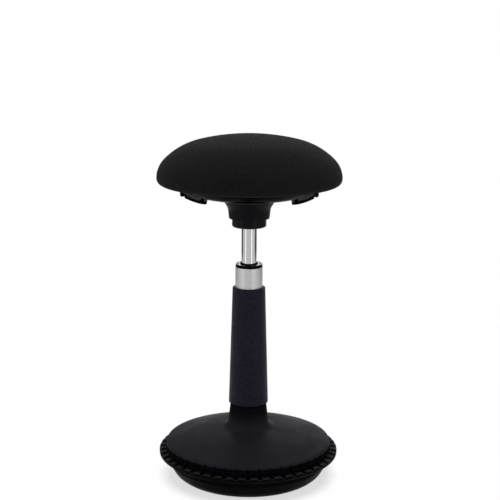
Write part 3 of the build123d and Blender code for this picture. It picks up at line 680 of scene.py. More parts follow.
FINISHES: dict[Slot, Finish] = {
    # The foot's dust is kept to the flange's outer edge: partly dust, partly a painted highlight
    # along that edge.
    Slot.FOOT_RUBBER: Rubber(
        "foot_rubber_matt", (0.0018, 0.0018, 0.0019), roughness=0.42, specular=0.012, dust=0.75,
        dust_and_highlight_from=159.0 * MM, dust_and_highlight_to=166.0 * MM),
    Slot.BUFFER_RUBBER: Rubber(
        "buffer_rubber_matt", (0.02, 0.02, 0.02), roughness=0.8, specular=0.3, dust=0.0),
    Slot.CAST_WEIGHT: CastIron("cast_weight_skin", (0.10, 0.10, 0.10), roughness=0.7),
    Slot.BARE_STEEL: Metal("bare_steel_oiled", (0.42, 0.41, 0.40), roughness=0.34),
    Slot.ZINC_STEEL: Metal("zinc_steel_bright", (0.60, 0.60, 0.58), roughness=0.30, tone=0.18),
    Slot.BLACK_STEEL: Metal(
        "black_steel_plated", (0.0034, 0.0034, 0.0034), roughness=0.30, metallic=0.9),
    # Its bands are painted shade: on the rim's side face, under the foot of the sleeve and down the
    # neck. Its notches carry painted shade in and above them.
    Slot.BASE_PLASTIC: MouldedPlastic(
        "base_plastic_satin", (0.0150, 0.0141, 0.0190), roughness=0.5, specular=0.022,
        tint=(0.90, 0.88, 1.0), pitch=0.9 * MM, depth=0.05 * MM, dust=0.03, fleck=0.25,
        bands=(Band(50.0 * MM, 64.6 * MM), Band(138.0 * MM, 142.0 * MM),
               Band(118.0 * MM, 142.0 * MM, soft=16.0 * MM, strength=0.85)),
        notches=Notches(48, 152.2 * MM, 2.4 * MM, Band(56.0 * MM, 67.3 * MM))),
    Slot.SLEEVE_PLASTIC: MouldedPlastic(
        "sleeve_plastic_grained", (0.0062, 0.0060, 0.0105), roughness=0.5, specular=0.07,
        tint=(0.86, 0.84, 1.0), pitch=1.9 * MM, depth=0.16 * MM, tone=0.4, fleck=1.7),
    Slot.BUSH_PLASTIC: MouldedPlastic(
        "bush_plastic_plain", (0.0020, 0.0020, 0.0021), roughness=0.4, specular=0.006),
    # Its highlight band is a painted highlight along the top of the shroud's flare.
    Slot.HUB_PLASTIC: MouldedPlastic(
        "hub_plastic_satin", (0.0042, 0.0036, 0.0052), roughness=0.42, specular=0.05,
        pitch=0.7 * MM, depth=0.03 * MM, highlight_band=Band(521.6 * MM, 524.0 * MM, soft=1.2 * MM)),
    Slot.PAN_PLASTIC: MouldedPlastic(
        "pan_plastic_smooth", (0.0017, 0.0019, 0.0023), roughness=0.22, specular=0.0009,
        tint=(0.86, 0.93, 1.0), pitch=0.6 * MM, depth=0.012 * MM),
    Slot.PADDLE_PLASTIC: MouldedPlastic(
        "paddle_plastic_smooth", (0.0032, 0.0032, 0.0037), roughness=0.26, specular=0.007,
        pitch=0.6 * MM, depth=0.012 * MM),
    Slot.SILVER_TUBE: Metal(
        "silver_tube_satin", (0.45, 0.45, 0.45), roughness=0.40, metallic=0.95, pitch=0.4 * MM,
        tone=0.08, anisotropy=0.2),
    Slot.CHROME: Metal(
        "chrome_bright", (0.47, 0.47, 0.475), roughness=0.06, pitch=0.3 * MM, depth=0.002 * MM,
        tone=0.05, gloss_swing=0.03),
    Slot.BOARD_WOOD: Plywood("board_plywood_raw", (0.50, 0.35, 0.21), roughness=0.6, specular=0.3),
    Slot.SEAT_FABRIC: KnitFabric(
        "seat_fabric_knit", (0.0082, 0.0082, 0.0082), roughness=0.85, specular=0.03, sheen=0.018,
        pitch=3.6 * MM, tone=0.75),
}


@lru_cache(maxsize=None)
def material_of(slot: Slot) -> bpy.types.Material:
    """Gives the material of a slot, made at the first call."""
    return FINISHES[slot].material()


def dress(piece: bpy.types.Object, slot: Slot) -> None:
    """Puts the material of a slot on a piece."""
    piece.data.materials.clear()
    piece.data.materials.append(material_of(slot))


def new_piece(name: str, mesh: bpy.types.Mesh) -> bpy.types.Object:
    """Puts a mesh in the scene as a piece.

    Args:
        name: Name of the piece.
        mesh: Its mesh, in place.

    Returns:
        The new object, at the origin.
    """
    piece = bpy.data.objects.new(name, mesh)
    bpy.context.scene.collection.objects.link(piece)
    return piece


def mesh_points(mesh: bpy.types.Mesh) -> np.ndarray:
    """Reads the points of a mesh.

    Args:
        mesh: The mesh.

    Returns:
        Its points as rows of three.
    """
    spots = np.empty(len(mesh.vertices) * 3)
    mesh.vertices.foreach_get("co", spots)
    return spots.reshape(-1, 3)


def move_points(mesh: bpy.types.Mesh, spots: np.ndarray) -> None:
    """Moves the points of a mesh to rows of three."""
    mesh.vertices.foreach_set("co", spots.astype(np.float32).ravel())
    mesh.update()


def smooth_faces(mesh: bpy.types.Mesh) -> None:
    """Shades every face of a mesh smooth."""
    mesh.polygons.foreach_set("use_smooth", [True] * len(mesh.polygons))


def shell_mesh(name: str, shell: bmesh.types.BMesh) -> bpy.types.Mesh:
    """Turns a built shell into a mesh with its faces out.

    Args:
        name: Name of the mesh.
        shell: The shell, which is freed.

    Returns:
        The mesh.
    """
    bmesh.ops.recalc_face_normals(shell, faces=shell.faces)
    mesh = bpy.data.meshes.new(name)
    shell.to_mesh(mesh)
    shell.free()
    return mesh


def plain_mesh(piece: bpy.types.Object) -> None:
    """Turns a piece with modifiers into a plain mesh.

    Args:
        piece: Piece whose evaluated mesh is kept.
    """
    graph = bpy.context.evaluated_depsgraph_get()
    made = bpy.data.meshes.new_from_object(piece.evaluated_get(graph))
    old = piece.data
    piece.modifiers.clear()
    piece.data = made
    bpy.data.meshes.remove(old)


@dataclass
class RingPattern:
    """A small shape that a geometry node tree repeats round the column axis.

    The shape takes its named sizes from the tree's inputs and points its X axis along the ring.
    """

    name: str
    slot: Slot
    shape: Callable[[Graph, NamedSockets], Socket]
    sizes: dict[str, float]
    radius: float
    height: float
    count: int
    start: float = 0.0

    def ring(self, graph: Graph, start: NamedSockets) -> Socket:
        """Adds the nodes of the ring.

        Args:
            graph: Graph of the tree.
            start: Its named inputs.

        Returns:
            The dressed ring.
        """
        still = {"Count": start["Count"], "Offset": (0.0, 0.0, 0.0)}
        line = graph.add("GeometryNodeMeshLine", still).outputs[0]
        step = graph.math("DIVIDE", TURN, start["Count"])
        index = graph.add("GeometryNodeInputIndex").outputs[0]
        angle = graph.math("ADD", graph.math("MULTIPLY", index, step), start["Start"])
        x, y = (graph.math("MULTIPLY", graph.math(side, angle), start["Radius"])
                for side in ("COSINE", "SINE"))
        place = graph.vector(x, y, start["Height"])
        points = graph.add("GeometryNodeSetPosition", {"Geometry": line, "Position": place})
        copies = graph.add("GeometryNodeInstanceOnPoints", {
            "Points": points.outputs[0], "Instance": self.shape(graph, start),
            "Rotation": graph.vector(0.0, 0.0, graph.math("ADD", angle, math.pi / 2))})
        real = graph.add("GeometryNodeRealizeInstances", {0: copies.outputs[0]})
        finish = {"Geometry": real.outputs[0], "Material": start["Finish"]}
        return graph.add("GeometryNodeSetMaterial", finish).outputs[0]

    def make(self) -> bpy.types.Object:
        """Builds the tree and makes the ring as a plain mesh.

        Returns:
            The piece.
        """
        tree = bpy.data.node_groups.new(self.name, "GeometryNodeTree")
        face = tree.interface
        face.new_socket("Geometry", in_out="OUTPUT", socket_type="NodeSocketGeometry")
        plain = {"Radius": self.radius, "Height": self.height, "Start": self.start, **self.sizes}
        values = {label: ("NodeSocketFloat", value) for label, value in plain.items()}
        values["Count"] = ("NodeSocketInt", self.count)
        values["Finish"] = ("NodeSocketMaterial", material_of(self.slot))
        keys = {label: face.new_socket(label, in_out="INPUT", socket_type=kind).identifier
                for label, (kind, _) in values.items()}
        graph = Graph(tree)
        ring = self.ring(graph, graph.add("NodeGroupInput").outputs)
        graph.add("NodeGroupOutput", {0: ring})
        piece = new_piece(self.name, bpy.data.meshes.new(self.name))
        modifier = piece.modifiers.new("ring", "NODES")
        modifier.node_group = tree
        for label, (_, value) in values.items():
            modifier[keys[label]] = value
        piece.update_tag()
        bpy.context.view_layer.update()
        plain_mesh(piece)
        return piece


def block(graph: Graph, size: Sequence[object], place: Sequence[object]) -> Socket:
    """Adds a box to a geometry tree.

    Args:
        graph: Graph of the tree.
        size: Its sides.
        place: Its centre.

    Returns:
        The box.
    """
    box = graph.add("GeometryNodeMeshCube", {"Size": graph.vector(*size)}).outputs[0]
    moved = {"Geometry": box, "Translation": graph.vector(*place)}
    return graph.add("GeometryNodeTransform", moved).outputs[0]


def peg_shape(graph: Graph, start: NamedSockets) -> Socket:
    """Adds one upright peg to a geometry tree."""
    sizes = {"Vertices": PEG_SIDES, "Radius": start["Peg radius"], "Depth": start["Peg height"]}
    return graph.add("GeometryNodeMeshCylinder", sizes).outputs[0]


def staple_shape(graph: Graph, start: NamedSockets) -> Socket:
    """Adds one staple to a geometry tree: its back and two legs.

    Args:
        graph: Graph of the tree.
        start: Inputs of the tree.

    Returns:
        The staple.
    """
    width, wire, leg = (start[label] for label in ("Width", "Wire", "Leg"))
    half = graph.math("MULTIPLY", graph.math("SUBTRACT", width, wire), 0.5)
    rise = graph.math("MULTIPLY", leg, 0.5)
    join = graph.add("GeometryNodeJoinGeometry")
    graph.put(join.inputs[0], block(graph, (width, wire, wire), (0.0, 0.0, 0.0)))
    for side in (half, graph.math("MULTIPLY", half, -1.0)):
        graph.put(join.inputs[0], block(graph, (wire, wire, leg), (side, 0.0, rise)))
    return join.outputs[0]


def stitch_shape(graph: Graph, start: NamedSockets) -> Socket:
    """Adds one stitch to a geometry tree: a flat, long bead of thread.

    Args:
        graph: Graph of the tree.
        start: Inputs of the tree.

    Returns:
        The stitch.
    """
    thread = start["Thread"]
    sides = graph.vector(start["Length"], thread, graph.math("MULTIPLY", thread, THREAD_FLATNESS))
    ball = graph.add("GeometryNodeMeshUVSphere", {"Segments": 6, "Rings": 5, "Radius": 0.5})
    drawn = {"Geometry": ball.outputs[0], "Scale": sides}
    return graph.add("GeometryNodeTransform", drawn).outputs[0]


def drive_shape(graph: Graph, start: NamedSockets) -> Socket:
    """Adds one screw head to a geometry tree: it faces down and has a cross cut into it.

    Args:
        graph: Graph of the tree.
        start: Inputs of the tree.

    Returns:
        The head.
    """
    radius, height, length, width = (
        start[label] for label in ("Head radius", "Head height", "Drive length", "Drive width"))
    head = graph.add("GeometryNodeMeshCone", {
        "Vertices": HEAD_SIDES, "Radius Top": graph.math("MULTIPLY", radius, HEAD_TAPER),
        "Radius Bottom": radius, "Depth": height})
    down = {"Geometry": head.outputs[0], "Rotation": (math.pi, 0.0, 0.0)}
    cut = graph.add("GeometryNodeMeshBoolean", operation="DIFFERENCE", solver="MANIFOLD")
    graph.put(cut.inputs[0], graph.add("GeometryNodeTransform", down).outputs[0])
    deep = graph.math("MULTIPLY", height, DRIVE_DEPTH)
    below = graph.math("MULTIPLY", height, -1.0)
    for sides in ((length, width, deep), (width, length, deep)):
        graph.put(cut.inputs[1], block(graph, sides, (0.0, 0.0, below)))
    return cut.outputs[0]


def turned(name: str, outline: Outline, count: int) -> bpy.types.Object:
    """Turns an outline round the column axis into a closed piece.

    Args:
        name: Name of the piece.
        outline: Points as (radius, height), either from axis to axis or as a loop off the axis.
        count: Steps round the axis.

    Returns:
        The piece.
    """
    shell = bmesh.new()
    rings = []
    for radius, height in outline:
        steps = count if radius > TINY else 1
        angles = [TURN * k / steps for k in range(steps)]
        rings.append([shell.verts.new((radius * math.cos(a), radius * math.sin(a), height))
                      for a in angles])
    following = rings[1:] if len(rings[0]) == 1 else rings[1:] + rings[:1]
    for upper, lower in zip(rings, following):
        for k in range(count):
            corners = [ring[j % len(ring)] for ring, j in
                       ((upper, k), (lower, k), (lower, (k + 1) % count), (upper, (k + 1) % count))]
            shell.faces.new(list(dict.fromkeys(corners)))
    return new_piece(name, shell_mesh(name, shell))


SLOT_OF: dict[str, Slot] = {
    row["node"]: Slot(row["material_slot"]) for row in frame["record"]["subparts"]}


@dataclass
class Assembly:
    """A sub-assembly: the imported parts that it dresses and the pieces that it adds."""

    parts: tuple[str, ...] = ()
    pieces: list[bpy.types.Object] = field(default_factory=list)

    def add_pieces(self) -> None:
        """Makes the added pieces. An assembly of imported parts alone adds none."""

    def keep(self, piece: bpy.types.Object, body: Body, slot: Slot) -> None:
        """Dresses and keeps an added piece.

        Args:
            piece: The finished piece.
            body: Body that it moves with.
            slot: Slot of its finish.
        """
        dress(piece, slot)
        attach(piece, body.value)
        self.pieces.append(piece)

    def build(self) -> None:
        """Dresses the parts, makes the pieces and reports both."""
        for node in self.parts:
            dress(frame["nodes"][node], SLOT_OF[node])
        self.add_pieces()
        name = type(self).__name__
        LOG.info("%s: %d packed parts dressed", name, len(self.parts))
        for piece in self.pieces:
            LOG.info("%s: %s, %d faces", name, piece.name, len(piece.data.polygons))


@dataclass
class GasColumn(Assembly):
    """The gas lift: tube with its bush and collar, cylinder, rod and bearing, and the sleeve."""

    parts: tuple[str, ...] = (
        "column_tube", "tube_end_plate", "guide_bush", "column_sleeve", "lower_race", "upper_race",
        "ball_cage", "bearing_balls", "piston_rod", "piston", "bump_buffer", "clip_washer",
        "rod_clip", "gas_cylinder", "cylinder_gland", "valve_button")
    mouth: float = 399.0 * MM
    collar_radius: float = 24.5 * MM
    collar_bore: float = 15.0 * MM
    collar_height: float = 5.2 * MM
    rim: float = 1.2 * MM
    edge: float = 0.4 * MM
    recess: float = 0.9 * MM
    lip_radius: float = 16.6 * MM
    lip_height: float = 6.6 * MM
    washer_thickness: float = 0.5 * MM
    washer_room: float = 0.2 * MM
    peg_circle: float = 19.8 * MM
    peg_radius: float = 1.3 * MM
    peg_height: float = 2.0 * MM
    sides: int = 96

    def collar(self) -> bpy.types.Object:
        """Makes the black collar that stands on the mouth of the tube and wipes the cylinder.

        Returns:
            The piece.
        """
        outer, lip, bore = self.collar_radius, self.lip_radius, self.collar_bore
        inner = outer - self.rim
        top, crest = self.mouth + self.collar_height, self.mouth + self.lip_height
        floor = top - self.recess
        outline = [(bore, self.mouth), (outer, self.mouth), (outer, top - self.edge),
                   (outer - self.edge, top), (inner, top), (inner, floor), (lip, floor),
                   (lip, crest - self.edge), (lip - self.edge, crest), (bore, crest)]
        return turned("mouth_collar", outline, self.sides)

    def washer(self) -> bpy.types.Object:
        """Makes the bright washer in the recess of the collar.

        Returns:
            The piece.
        """
        low = self.mouth + self.collar_height - self.recess
        high = low + self.washer_thickness
        inner = self.lip_radius + self.washer_room
        outer = self.collar_radius - self.rim - self.washer_room
        outline = [(inner, low), (outer, low), (outer, high), (inner, high)]
        return turned("mouth_washer", outline, self.sides)

    def pegs(self) -> bpy.types.Object:
        """Makes the two black pegs that key the washer to the collar.

        Returns:
            The piece.
        """
        height = self.mouth + self.collar_height - self.recess + self.peg_height / 2
        sizes = {"Peg radius": self.peg_radius, "Peg height": self.peg_height}
        return RingPattern("mouth_pegs", Slot.BUSH_PLASTIC, peg_shape, sizes, self.peg_circle,
                           height, count=2).make()

    def add_pieces(self) -> None:
        """Makes the collar, the washer and the pegs at the mouth of the tube."""
        self.keep(self.collar(), Body.BASE, Slot.BUSH_PLASTIC)
        self.keep(self.washer(), Body.BASE, Slot.ZINC_STEEL)
        self.keep(self.pegs(), Body.BASE, Slot.BUSH_PLASTIC)


@dataclass
class WeightedBase(Assembly):
    """The base: rubber foot, weight, socket and the moulded cover with its notched rim."""

    parts: tuple[str, ...] = (
        "foot_tread", "weight_disc", "base_socket", "socket_bolts", "socket_washers", "base_cover",
        "cover_screws")


@dataclass
class ReleaseLinkage(Assembly):
    """The paddles under the seat and the rockers that they lift."""

    parts: tuple[str, ...] = (
        "right_paddle", "left_paddle", "paddle_pins", "right_rocker", "left_rocker", "rocker_pins")


@dataclass(frozen=True)
class Filling:
    """How the cushion's filling is simulated as cloth under pressure."""

    quality: int = 6
    mass: float = 0.25
    tension_stiffness: float = 25.0
    compression_stiffness: float = 25.0
    shear_stiffness: float = 12.0
    bending_stiffness: float = 2.0
    use_pressure: bool = True
    uniform_pressure_force: float = 4.0
    vertex_group_mass: str = "held"

    def swell(self, piece: bpy.types.Object, held: np.ndarray, frames: int) -> np.ndarray:
        """Swells a piece.

        Args:
            piece: The piece, which is left as it was.
            held: Which of its points stay in place.
            frames: How many steps it swells for.

        Returns:
            How far each point has moved.
        """
        group = piece.vertex_groups.new(name=self.vertex_group_mass)
        group.add([int(i) for i in np.flatnonzero(held)], 1.0, "REPLACE")
        cloth = piece.modifiers.new("fill", "CLOTH")
        for name, value in vars(self).items():
            setattr(cloth.settings, name, value)
        cloth.settings.effector_weights.gravity = 0.0
        cloth.point_cache.frame_end = frames
        for step in range(1, frames + 1):
            bpy.context.scene.frame_set(step)
        filled = piece.evaluated_get(bpy.context.evaluated_depsgraph_get())
        move = mesh_points(filled.to_mesh()) - mesh_points(piece.data)
        filled.to_mesh_clear()
        piece.modifiers.clear()
        piece.vertex_groups.clear()
        bpy.context.scene.frame_set(1)
        return move


@dataclass
class Upholstery(Assembly):
    """The cushion: a knit cover over a foam crown, drawn under the board to a stapled hem."""

    parts: tuple[str, ...] = ("seat_board",)
    radius: float = 167.8 * MM
    waist: float = 562.4 * MM
    crown: float = 78.4 * MM
    top_sweep: float = 14.0
    shoulder_sweep: float = 31.5
    shoulder_radius: float = 126.0 * MM
    limb: float = 11.0 * MM
    arc_steps: tuple[int, ...] = (10, 14, 10, 8)
    sides: int = 144
    board_radius: float = 149.0 * MM
    board_top: float = 565.4 * MM
    pocket_room: float = 2.0 * MM
    filling: Filling = Filling()
    voxel: float = 4.5 * MM
    start_inset: float = 2.2 * MM
    swell_cap: float = 5.0 * MM
    last_frame: int = 20
    smoothings: int = 4
    give_in: float = 0.3 * MM
    give_out: float = 0.5 * MM
    skin_depth: float = 9.0 * MM
    line_step: float = 0.5 * MM
    search_batch: int = 4000
    hem_inner: float = 133.3 * MM
    hem_thickness: float = 1.2 * MM
    hem_lap: float = 0.4 * MM
    hem_lift: float = 0.25 * MM
    hem_rows: int = 9
    pleats: int = 64
    pleat_steps: int = 8
    pleat_depth: float = 1.0 * MM
    pleat_seed: int = 11
    pleat_sway: float = 0.35
    pleat_lean: float = 0.25
    gather_rate: float = 1.6
    staples: int = 44
    staple_circle: float = 145.0 * MM
    staple_start: float = 0.03
    staple_stand: float = 0.2 * MM
    stitches: int = 190
    stitch_circle: float = 139.5 * MM
    fill: float = 0.9

    def side_line(self, inset: float) -> Outline:
        """Draws the outline of the cushion from its top to the plane of its hem.

        Args:
            inset: How far inside the cover the line runs.

        Returns:
            Points as (radius, height).
        """
        top_end = math.radians(90.0 - self.top_sweep)
        side_end = math.radians(90.0 - self.top_sweep - self.shoulder_sweep)
        across = self.radius - self.shoulder_radius * (math.cos(side_end) - math.cos(top_end))
        down = self.crown - self.shoulder_radius * (math.sin(top_end) - math.sin(side_end))
        top_gap, side_gap = 1 - math.sin(top_end), 1 - math.cos(side_end)
        spread = math.cos(top_end) * math.sin(side_end) - side_gap * top_gap
        top_radius = (across * math.sin(side_end) - down * side_gap) / spread
        edge_radius = (down * math.cos(top_end) - across * top_gap) / spread
        top = (0.0, self.waist + self.crown - top_radius)
        reach = top_radius - self.shoulder_radius
        shoulder = (reach * math.cos(top_end), top[1] + reach * math.sin(top_end))
        edge = (self.radius - edge_radius, self.waist)
        turn = (self.radius - self.limb, self.waist)
        arcs = [(top, top_radius, math.pi / 2, top_end),
                (shoulder, self.shoulder_radius, top_end, side_end),
                (edge, edge_radius, side_end, 0.0), (turn, self.limb, 0.0, -math.pi / 2)]
        points: Outline = []
        for (centre, radius, start, stop), count in zip(arcs, self.arc_steps):
            for k in range(count):
                angle = start + (stop - start) * k / count
                points.append((centre[0] + (radius - inset) * math.cos(angle),
                               centre[1] + (radius - inset) * math.sin(angle)))
        points.append((turn[0], turn[1] - self.limb + inset))
        return points

    def crown_form(self) -> bpy.types.Object:
        """Makes the closed form of the cushion, with the pocket that the board sits in.

        Returns:
            The piece, before its filling.
        """
        wall, roof = self.board_radius + self.pocket_room, self.board_top + self.pocket_room
        outline = self.side_line(self.start_inset)
        outline += [(wall, outline[-1][1]), (wall, roof), (0.0, roof)]
        return turned("seat_cushion", outline, self.sides)

    def simulate(self, piece: bpy.types.Object) -> None:
        """Remeshes the cushion evenly, swells it with its pocket held, and caps how far it moves.

        Args:
            piece: The cushion, which keeps the result as its mesh.
        """
        even = piece.modifiers.new("even_mesh", "REMESH")
        even.mode = "VOXEL"
        even.voxel_size = self.voxel
        plain_mesh(piece)
        rest = mesh_points(piece.data)
        room = 3 * self.pocket_room
        reach = np.hypot(rest[:, 0], rest[:, 1])
        pocket = (reach < self.board_radius + room) & (rest[:, 2] < self.board_top + room)
        move = self.filling.swell(piece, pocket, self.last_frame)
        length = np.linalg.norm(move, axis=1, keepdims=True)
        move *= np.minimum(1.0, self.swell_cap / np.maximum(length, TINY))
        move_points(piece.data, rest + move)
        LOG.info("cushion filled: mean swell %.2f mm, most %.2f mm",
                 length.mean() / MM, length.max() / MM)

    def even_out(self, piece: bpy.types.Object) -> None:
        """Smooths the steps of the remesh and divides the faces once.

        Args:
            piece: The cushion.
        """
        shell = bmesh.new()
        shell.from_mesh(piece.data)
        for _ in range(self.smoothings):
            bmesh.ops.smooth_vert(shell, verts=shell.verts, factor=0.5, use_axis_x=True,
                                  use_axis_y=True, use_axis_z=True)
        shell.to_mesh(piece.data)
        shell.free()
        finer = piece.modifiers.new("finer", "SUBSURF")
        finer.levels = 1
        finer.render_levels = 1
        plain_mesh(piece)

    def hold_line(self, piece: bpy.types.Object) -> None:
        """Brings the skin of the filled cushion back to the side line, with a little give.

        Args:
            piece: The cushion.
        """
        room = self.pocket_room
        wall, roof = self.board_radius + room, self.board_top + room
        line = self.fine_line(self.side_line(0.0) + [(wall, self.waist - self.limb)])
        way = np.gradient(line, axis=0)
        out = np.stack([-way[:, 1], way[:, 0]], axis=1)
        out /= np.linalg.norm(out, axis=1, keepdims=True)
        spots = mesh_points(piece.data)
        reach = np.hypot(spots[:, 0], spots[:, 1])
        flat = np.stack([reach, spots[:, 2]], axis=1)
        near = self.nearest(line, flat)
        off = ((flat - line[near]) * out[near]).sum(axis=1)
        gap = np.linalg.norm(flat - line[near], axis=1)
        pocket = (reach < wall + room) & (spots[:, 2] < roof + room) & (gap > 2 * room)
        skin = (gap < self.skin_depth) & ~pocket
        wanted = np.where(skin, np.clip(off, -self.give_in, self.give_out), off)
        moved = flat + out[near] * (wanted - off)[:, None]
        spots[:, :2] *= (moved[:, 0] / np.maximum(reach, TINY))[:, None]
        spots[:, 2] = moved[:, 1]
        move_points(piece.data, spots)

    def fine_line(self, points: Outline) -> np.ndarray:
        """Divides an outline into short steps.

        Args:
            points: The outline.

        Returns:
            Its points as (radius, height) rows.
        """
        line = np.array(points)
        parts = []
        for a, b in zip(line[:-1], line[1:]):
            count = max(2, int(np.linalg.norm(b - a) / self.line_step))
            parts.append(a + (b - a) * np.linspace(0, 1, count, endpoint=False)[:, None])
        return np.vstack([*parts, line[-1:]])

    def nearest(self, line: np.ndarray, flat: np.ndarray) -> np.ndarray:
        """Finds the nearest point of an outline for each point.

        Args:
            line: Outline as (radius, height) rows.
            flat: Points as (radius, height) rows.

        Returns:
            Index into the outline for each point.
        """
        found = []
        for first in range(0, len(flat), self.search_batch):
            part = flat[first:first + self.search_batch, None]
            found.append(((part - line[None]) ** 2).sum(axis=2).argmin(axis=1))
        return np.concatenate(found)

    def hem_form(self) -> bpy.types.Object:
        """Makes the hem of the cover under the board, gathered in small pleats.

        Returns:
            The piece.
        """
        around = self.pleats * self.pleat_steps
        plane = self.waist - self.limb
        outer = self.radius - self.limb + self.hem_lap
        sway = np.random.default_rng(self.pleat_seed).normal(0.0, self.pleat_sway, self.pleats)
        shell = bmesh.new()
        low, high = [], []
        for row in range(self.hem_rows + 1):
            share = row / self.hem_rows
            radius = outer + (self.hem_inner - outer) * share
            gather = self.pleat_depth * min(1.0, self.gather_rate * share)
            low.append([])
            high.append([])
            for k in range(around):
                angle, place = TURN * k / around, k / self.pleat_steps
                lean = sway[int(place) % self.pleats] * (1 - share)
                fold = 0.5 + 0.5 * math.cos(TURN * (place + self.pleat_lean * lean))
                height = plane + self.hem_lift * (1 - share) - gather * fold
                spot = (radius * math.cos(angle), radius * math.sin(angle))
                low[-1].append(shell.verts.new((*spot, height)))
                high[-1].append(shell.verts.new((*spot, height + self.hem_thickness)))
        bands = [*zip(low, low[1:]), *zip(high, high[1:]), (low[-1], high[-1]), (low[0], high[0])]
        for one, other in bands:
            for k in range(around):
                shell.faces.new((one[k - 1], one[k], other[k], other[k - 1]))
        mesh = shell_mesh("seat_hem", shell)
        smooth_faces(mesh)
        return new_piece("seat_hem", mesh)

    def lay_map(self, piece: bpy.types.Object) -> None:
        """Lays the cloth map on a piece: distance along the cover from its top, in each direction.

        Args:
            piece: Piece to map.
        """
        line = self.fine_line(self.side_line(0.0) + [(self.hem_inner, self.waist - self.limb)])
        run = np.concatenate([[0.0], np.cumsum(np.linalg.norm(np.diff(line, axis=0), axis=1))])
        mesh = piece.data
        spots = mesh_points(mesh)
        reach = np.hypot(spots[:, 0], spots[:, 1])
        near = self.nearest(line, np.stack([reach, spots[:, 2]], axis=1))
        laid = spots[:, :2] * (run[near] / np.maximum(reach, TINY))[:, None]
        corner = np.empty(len(mesh.loops), int)
        mesh.loops.foreach_get("vertex_index", corner)
        layer = mesh.uv_layers.new(name=CLOTH_MAP)
        layer.data.foreach_set("uv", laid[corner].astype(np.float32).ravel())

    def staple_ring(self) -> bpy.types.Object:
        """Makes the staples that hold the hem to the board.

        Returns:
            The piece.
        """
        height = self.waist - self.limb - self.pleat_depth - self.staple_stand
        sizes = {"Width": 10 * MM, "Wire": 0.9 * MM, "Leg": 2.6 * MM}
        return RingPattern("hem_staples", Slot.BLACK_STEEL, staple_shape, sizes, self.staple_circle,
                           height, self.staples, self.staple_start).make()

    def stitch_ring(self) -> bpy.types.Object:
        """Makes the stitches of the turned edge of the hem.

        Returns:
            The piece.
        """
        height = self.waist - self.limb - self.pleat_depth
        sizes = {"Length": 3.6 * MM, "Thread": 0.7 * MM}
        return RingPattern("hem_stitches", Slot.SEAT_FABRIC, stitch_shape, sizes,
                           self.stitch_circle, height, self.stitches).make()

    def add_pieces(self) -> None:
        """Makes the cushion, its hem, the stitches and the staples."""
        cushion = self.crown_form()
        self.simulate(cushion)
        self.even_out(cushion)
        self.hold_line(cushion)
        smooth_faces(cushion.data)
        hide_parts("seat_cover", "seat_foam")
        for piece in (cushion, self.hem_form(), self.stitch_ring()):
            self.lay_map(piece)
            self.keep(piece, Body.SEAT, Slot.SEAT_FABRIC)
        self.keep(self.staple_ring(), Body.SEAT, Slot.BLACK_STEEL)


@dataclass
class SeatUnderside(Assembly):
    """The moulded pan with its screws, and the hub that carries the seat."""

    parts: tuple[str, ...] = (
        "hub_socket", "hub_shroud", "seat_plate", "seat_bolts", "tee_nuts", "seat_pan",
        "pan_screws")
    screw_circle: float = 112.0 * MM
    screw_count: int = 6
    screw_start: float = math.radians(30.0)
    head_low: float = 541.8 * MM
    head_radius: float = 3.8 * MM
    head_height: float = 0.9 * MM
    drive_length: float = 4.4 * MM
    drive_width: float = 1.1 * MM

    def add_pieces(self) -> None:
        """Makes the domed heads with a cross drive, on the faces of the pan screws."""
        sizes = {"Head radius": self.head_radius, "Head height": self.head_height,
                 "Drive length": self.drive_length, "Drive width": self.drive_width}
        drives = RingPattern("pan_screw_drives", Slot.ZINC_STEEL, drive_shape, sizes,
                             self.screw_circle, self.head_low, self.screw_count, self.screw_start)
        self.keep(drives.make(), Body.SEAT, Slot.ZINC_STEEL)


@dataclass(frozen=True)
class Lamp:
    """One soft lamp of the studio, which bright metal mirrors or not."""

    name: str
    place: Place
    aim: Place
    size: tuple[float, float]
    power: float
    mirrored: bool = True

    def build(self) -> None:
        """Makes the lamp."""
        data = bpy.data.lights.new(self.name, "AREA")
        data.shape = "RECTANGLE"
        data.size, data.size_y = self.size
        data.energy = self.power
        lamp = bpy.data.objects.new(self.name, data)
        bpy.context.scene.collection.objects.link(lamp)
        lamp.visible_camera = False
        lamp.visible_glossy = self.mirrored
        lamp.location = self.place
        lamp.rotation_mode = "QUATERNION"
        way = Vector(self.aim) - Vector(self.place)
        lamp.rotation_quaternion = way.to_track_quat("-Z", "Y")


@dataclass(frozen=True)
class Card:
    """A dark card out of view, which gives bright metal its dark edges."""

    name: str
    bearing: float
    distance: float = 1.85
    width: float = 1.9
    height: float = 1.3
    shade: Colour = (0.24, 0.24, 0.24)

    def build(self) -> None:
        """Makes the card, which faces the object and stands on the floor."""
        angle = math.radians(self.bearing)
        middle = Vector((math.sin(angle), -math.cos(angle), 0.0)) * self.distance
        side = Vector((math.cos(angle), math.sin(angle), 0.0)) * self.width / 2
        rise = Vector((0.0, 0.0, self.height))
        corners = [middle - side, middle + side, middle + side + rise, middle - side + rise]
        mesh = bpy.data.meshes.new(self.name)
        mesh.from_pydata(corners, [], [(0, 1, 2, 3)])
        card = new_piece(self.name, mesh)
        material = bpy.data.materials.new("dark_card")
        material.use_nodes = True
        shader = material.node_tree.nodes["Principled BSDF"]
        shader.inputs["Base Color"].default_value = rgba(self.shade)
        shader.inputs["Specular IOR Level"].default_value = 0.0
        shader.inputs["Roughness"].default_value = 1.0
        mesh.materials.append(material)
        card.visible_camera = False


